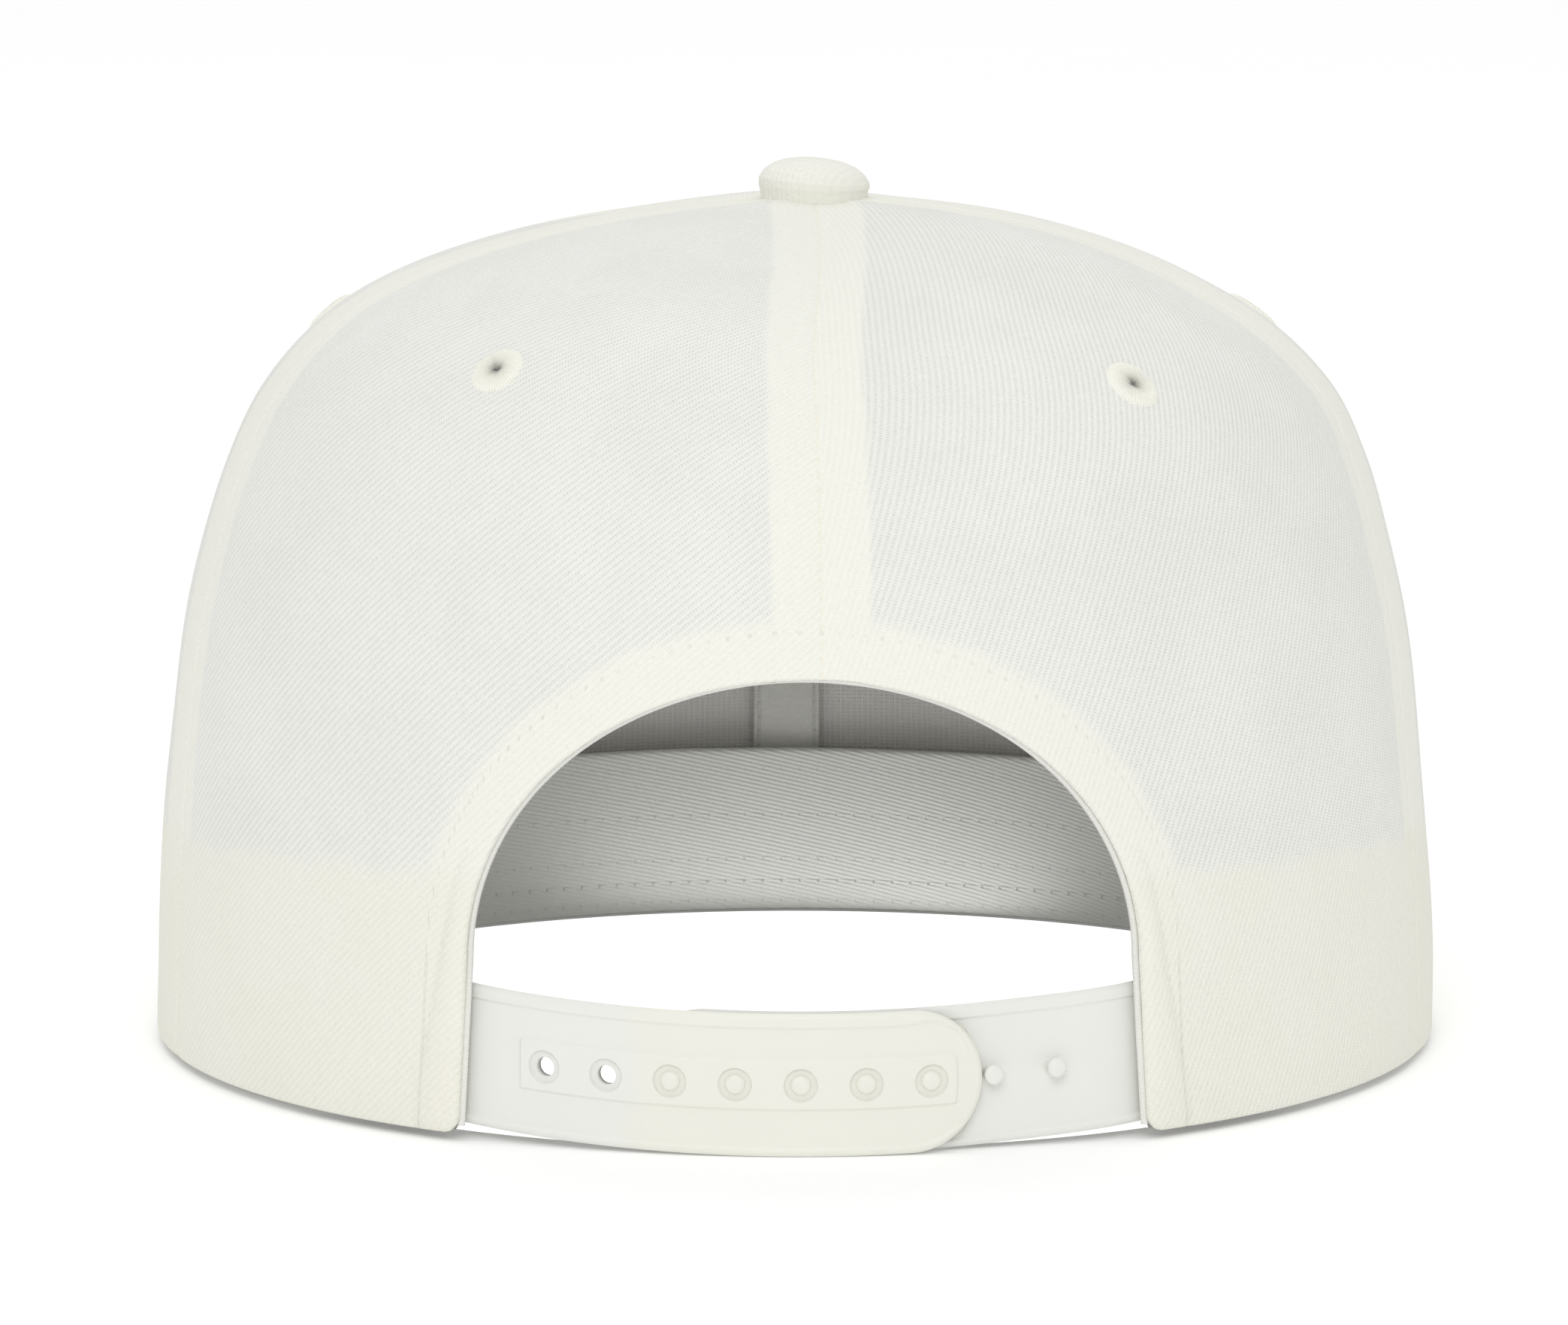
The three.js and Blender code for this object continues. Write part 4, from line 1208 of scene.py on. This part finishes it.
FLOOR_HALF = 8.0  # Half the side of the floor, in metres


class CAP_OT_crown(bpy.types.Operator):
    """Six crown panels with their rolled edges, seams and weave"""
    bl_idname = "cap.crown"
    bl_label = "Crown Panels"

    def execute(self, context):
        material = twill_finish(context.scene.cap_looks)
        for name in PANELS:
            panel_piece(name, material)
        button_piece(material)
        return {"FINISHED"}


class CAP_OT_eyelets(bpy.types.Operator):
    """Embroidered eyelets in the panels"""
    bl_idname = "cap.eyelets"
    bl_label = "Eyelets"

    def execute(self, context):
        material = thread_finish(context.scene.cap_looks)
        for name in PANELS:
            eyelet_piece(name, material)
        return {"FINISHED"}


class CAP_OT_lining(bpy.types.Operator):
    """Seam tapes, arch facing and front stiffener"""
    bl_idname = "cap.lining"
    bl_label = "Tapes and Stiffener"

    def execute(self, context):
        looks = context.scene.cap_looks
        tape = tape_finish(looks)
        for seam in SEAMS:
            tape_piece(seam, tape)
        facing_piece(tape)
        buckram = stiffener_finish(looks)
        for side in ("left", "right"):
            stiffener_piece(side, buckram)
        return {"FINISHED"}


class CAP_OT_sweatband(bpy.types.Operator):
    """Sweatband round the inside of the hem"""
    bl_idname = "cap.sweatband"
    bl_label = "Sweatband"

    def execute(self, context):
        sweatband_piece(band_finish(context.scene.cap_looks))
        return {"FINISHED"}


class CAP_OT_peak(bpy.types.Operator):
    """Flat peak with rows of stitching"""
    bl_idname = "cap.peak"
    bl_label = "Peak"

    def execute(self, context):
        peak_piece(peak_finish(context.scene.cap_looks))
        return {"FINISHED"}


class CAP_OT_strap(bpy.types.Operator):
    """Both parts of the snap strap with holes and studs"""
    bl_idname = "cap.strap"
    bl_label = "Snap Strap"

    def execute(self, context):
        material = plastic_finish(context.scene.cap_looks)
        holes = [FIRST_HOLE - order * SNAP_PITCH for order in range(HOLE_COUNT)]
        strap_sheet(
            "strap_with_holes", "strap_outer", material, STRAP_END, OUTER_TIP, outer_inset, holes, RAIL,
        )
        strap_sheet("strap_with_studs", "strap_inner", material, -STRAP_END, INNER_TIP, inner_inset)
        for order in range(context.scene.cap_stage.stud_count):
            stud_piece(order, material)
        return {"FINISHED"}


class CAP_OT_stage(bpy.types.Operator):
    """Pale floor, soft light and the camera behind the cap"""
    bl_idname = "cap.stage"
    bl_label = "Stage"

    def execute(self, context):
        scene = context.scene
        stage = scene.cap_stage
        side, ahead = np.meshgrid((FLOOR_HALF, -FLOOR_HALF), (-FLOOR_HALF, FLOOR_HALF))
        corners = np.stack([side, ahead, 0 * side], axis=-1)
        floor = surface("floor", corners / MM, corners[..., :2])
        floor.data.materials.append(floor_finish(scene.cap_looks, stage.glow))
        world = bpy.data.worlds.new("soft_sky")
        world.use_nodes = True
        sky = world.node_tree.nodes["Background"]
        sky.inputs["Color"].default_value = (1.0, 1.0, 1.0, 1.0)
        sky.inputs["Strength"].default_value = stage.sky
        scene.world = world
        centre = Vector((0.0, CROWN_Y * MM, 0.0))
        middle = centre + Vector((0, 0, 0.06))
        soft_light("key", centre + Vector((0.1, 1.4, 0.9)), middle, (0.8, 0.8), stage.key)
        beyond = centre + Vector((0, -1.4, 0))
        soft_light("top", beyond + Vector((0, 0, 2.6)), beyond, (6.0, 6.0), stage.top)
        low = centre + Vector((-0.004, -0.077, 0.0003))
        soft_light("hollow", low, low + Vector((0, 0, 1)), (0.075, 0.036), stage.hollow)
        # Painted light: a glowing card covers the crown's shade on the floor inside it
        painted_light_card(centre)
        add_camera(scene, stage, centre)
        scene.view_settings.view_transform = "Standard"
        return {"FINISHED"}


def soft_light(name, place, target, size, power):
    light = bpy.data.lights.new(name, "AREA")
    light.shape = "ELLIPSE"
    light.size, light.size_y = size
    light.energy = power
    lamp = bpy.data.objects.new(name, light)
    lamp.location = place
    lamp.rotation_euler = (target - place).to_track_quat("-Z", "Y").to_euler()
    bpy.context.scene.collection.objects.link(lamp)


def painted_light_card(centre):
    """White glowing card on the floor inside the crown, seen by the camera alone: painted light
    that hides the shade the crown would cast on the floor under it.
    """
    out, turn = np.meshgrid(np.linspace(0, 1, 2), np.linspace(0, 2 * math.pi, 97), indexing="ij")
    half_width, half_depth = 91.0, 94.2
    middle = centre.y / MM - 2.2
    points = np.stack([
        half_width * out * np.sin(turn),
        half_depth * out * np.cos(turn) + middle,
        0.2 + 0 * turn,
    ], axis=-1)[::-1]
    card = surface("painted_light_card", points, points[..., :2])
    made = Finish("glow", 1.0, specular=0.0)
    made.glow(1.0)
    card.data.materials.append(made.material)
    card.visible_diffuse = card.visible_glossy = card.visible_transmission = card.visible_shadow = False
    return card


def add_camera(scene, stage, centre):
    camera = bpy.data.cameras.new("camera")
    camera.lens = stage.lens
    camera.sensor_width = 36.0
    viewer = bpy.data.objects.new("camera", camera)
    place = centre + Vector((math.sin(stage.turn), math.cos(stage.turn), 0)) * stage.distance
    place.z = stage.eye_height
    aim = centre + Vector((math.cos(stage.turn), -math.sin(stage.turn), 0)) * stage.aim_side
    aim.z = stage.aim_height
    viewer.location = place
    viewer.rotation_euler = (aim - place).to_track_quat("-Z", "Y").to_euler()
    scene.collection.objects.link(viewer)
    scene.camera = viewer


class CAP_PT_panel(bpy.types.Panel):
    """Lists the cap's pieces in the order they are built"""
    bl_idname = "CAP_PT_panel"
    bl_label = "Snapback Cap"
    bl_space_type = "VIEW_3D"
    bl_region_type = "UI"
    bl_category = "Cap"

    def draw(self, context):
        for operator in OPERATORS:
            self.layout.operator(operator.bl_idname)


OPERATORS = (
    CAP_OT_stage,
    CAP_OT_crown,
    CAP_OT_eyelets,
    CAP_OT_lining,
    CAP_OT_sweatband,
    CAP_OT_peak,
    CAP_OT_strap,
)
CLASSES = (CapLooks, CapStage, *OPERATORS, CAP_PT_panel)


def register():
    for entry in CLASSES:
        bpy.utils.register_class(entry)
    bpy.types.Scene.cap_looks = PointerProperty(type=CapLooks)
    bpy.types.Scene.cap_stage = PointerProperty(type=CapStage)


def unregister():
    del bpy.types.Scene.cap_stage
    del bpy.types.Scene.cap_looks
    for entry in reversed(CLASSES):
        bpy.utils.unregister_class(entry)


def main():
    register()
    for operator in OPERATORS:
        group, name = operator.bl_idname.split(".")
        getattr(getattr(bpy.ops, group), name)()


if __name__ == "__main__":
    main()
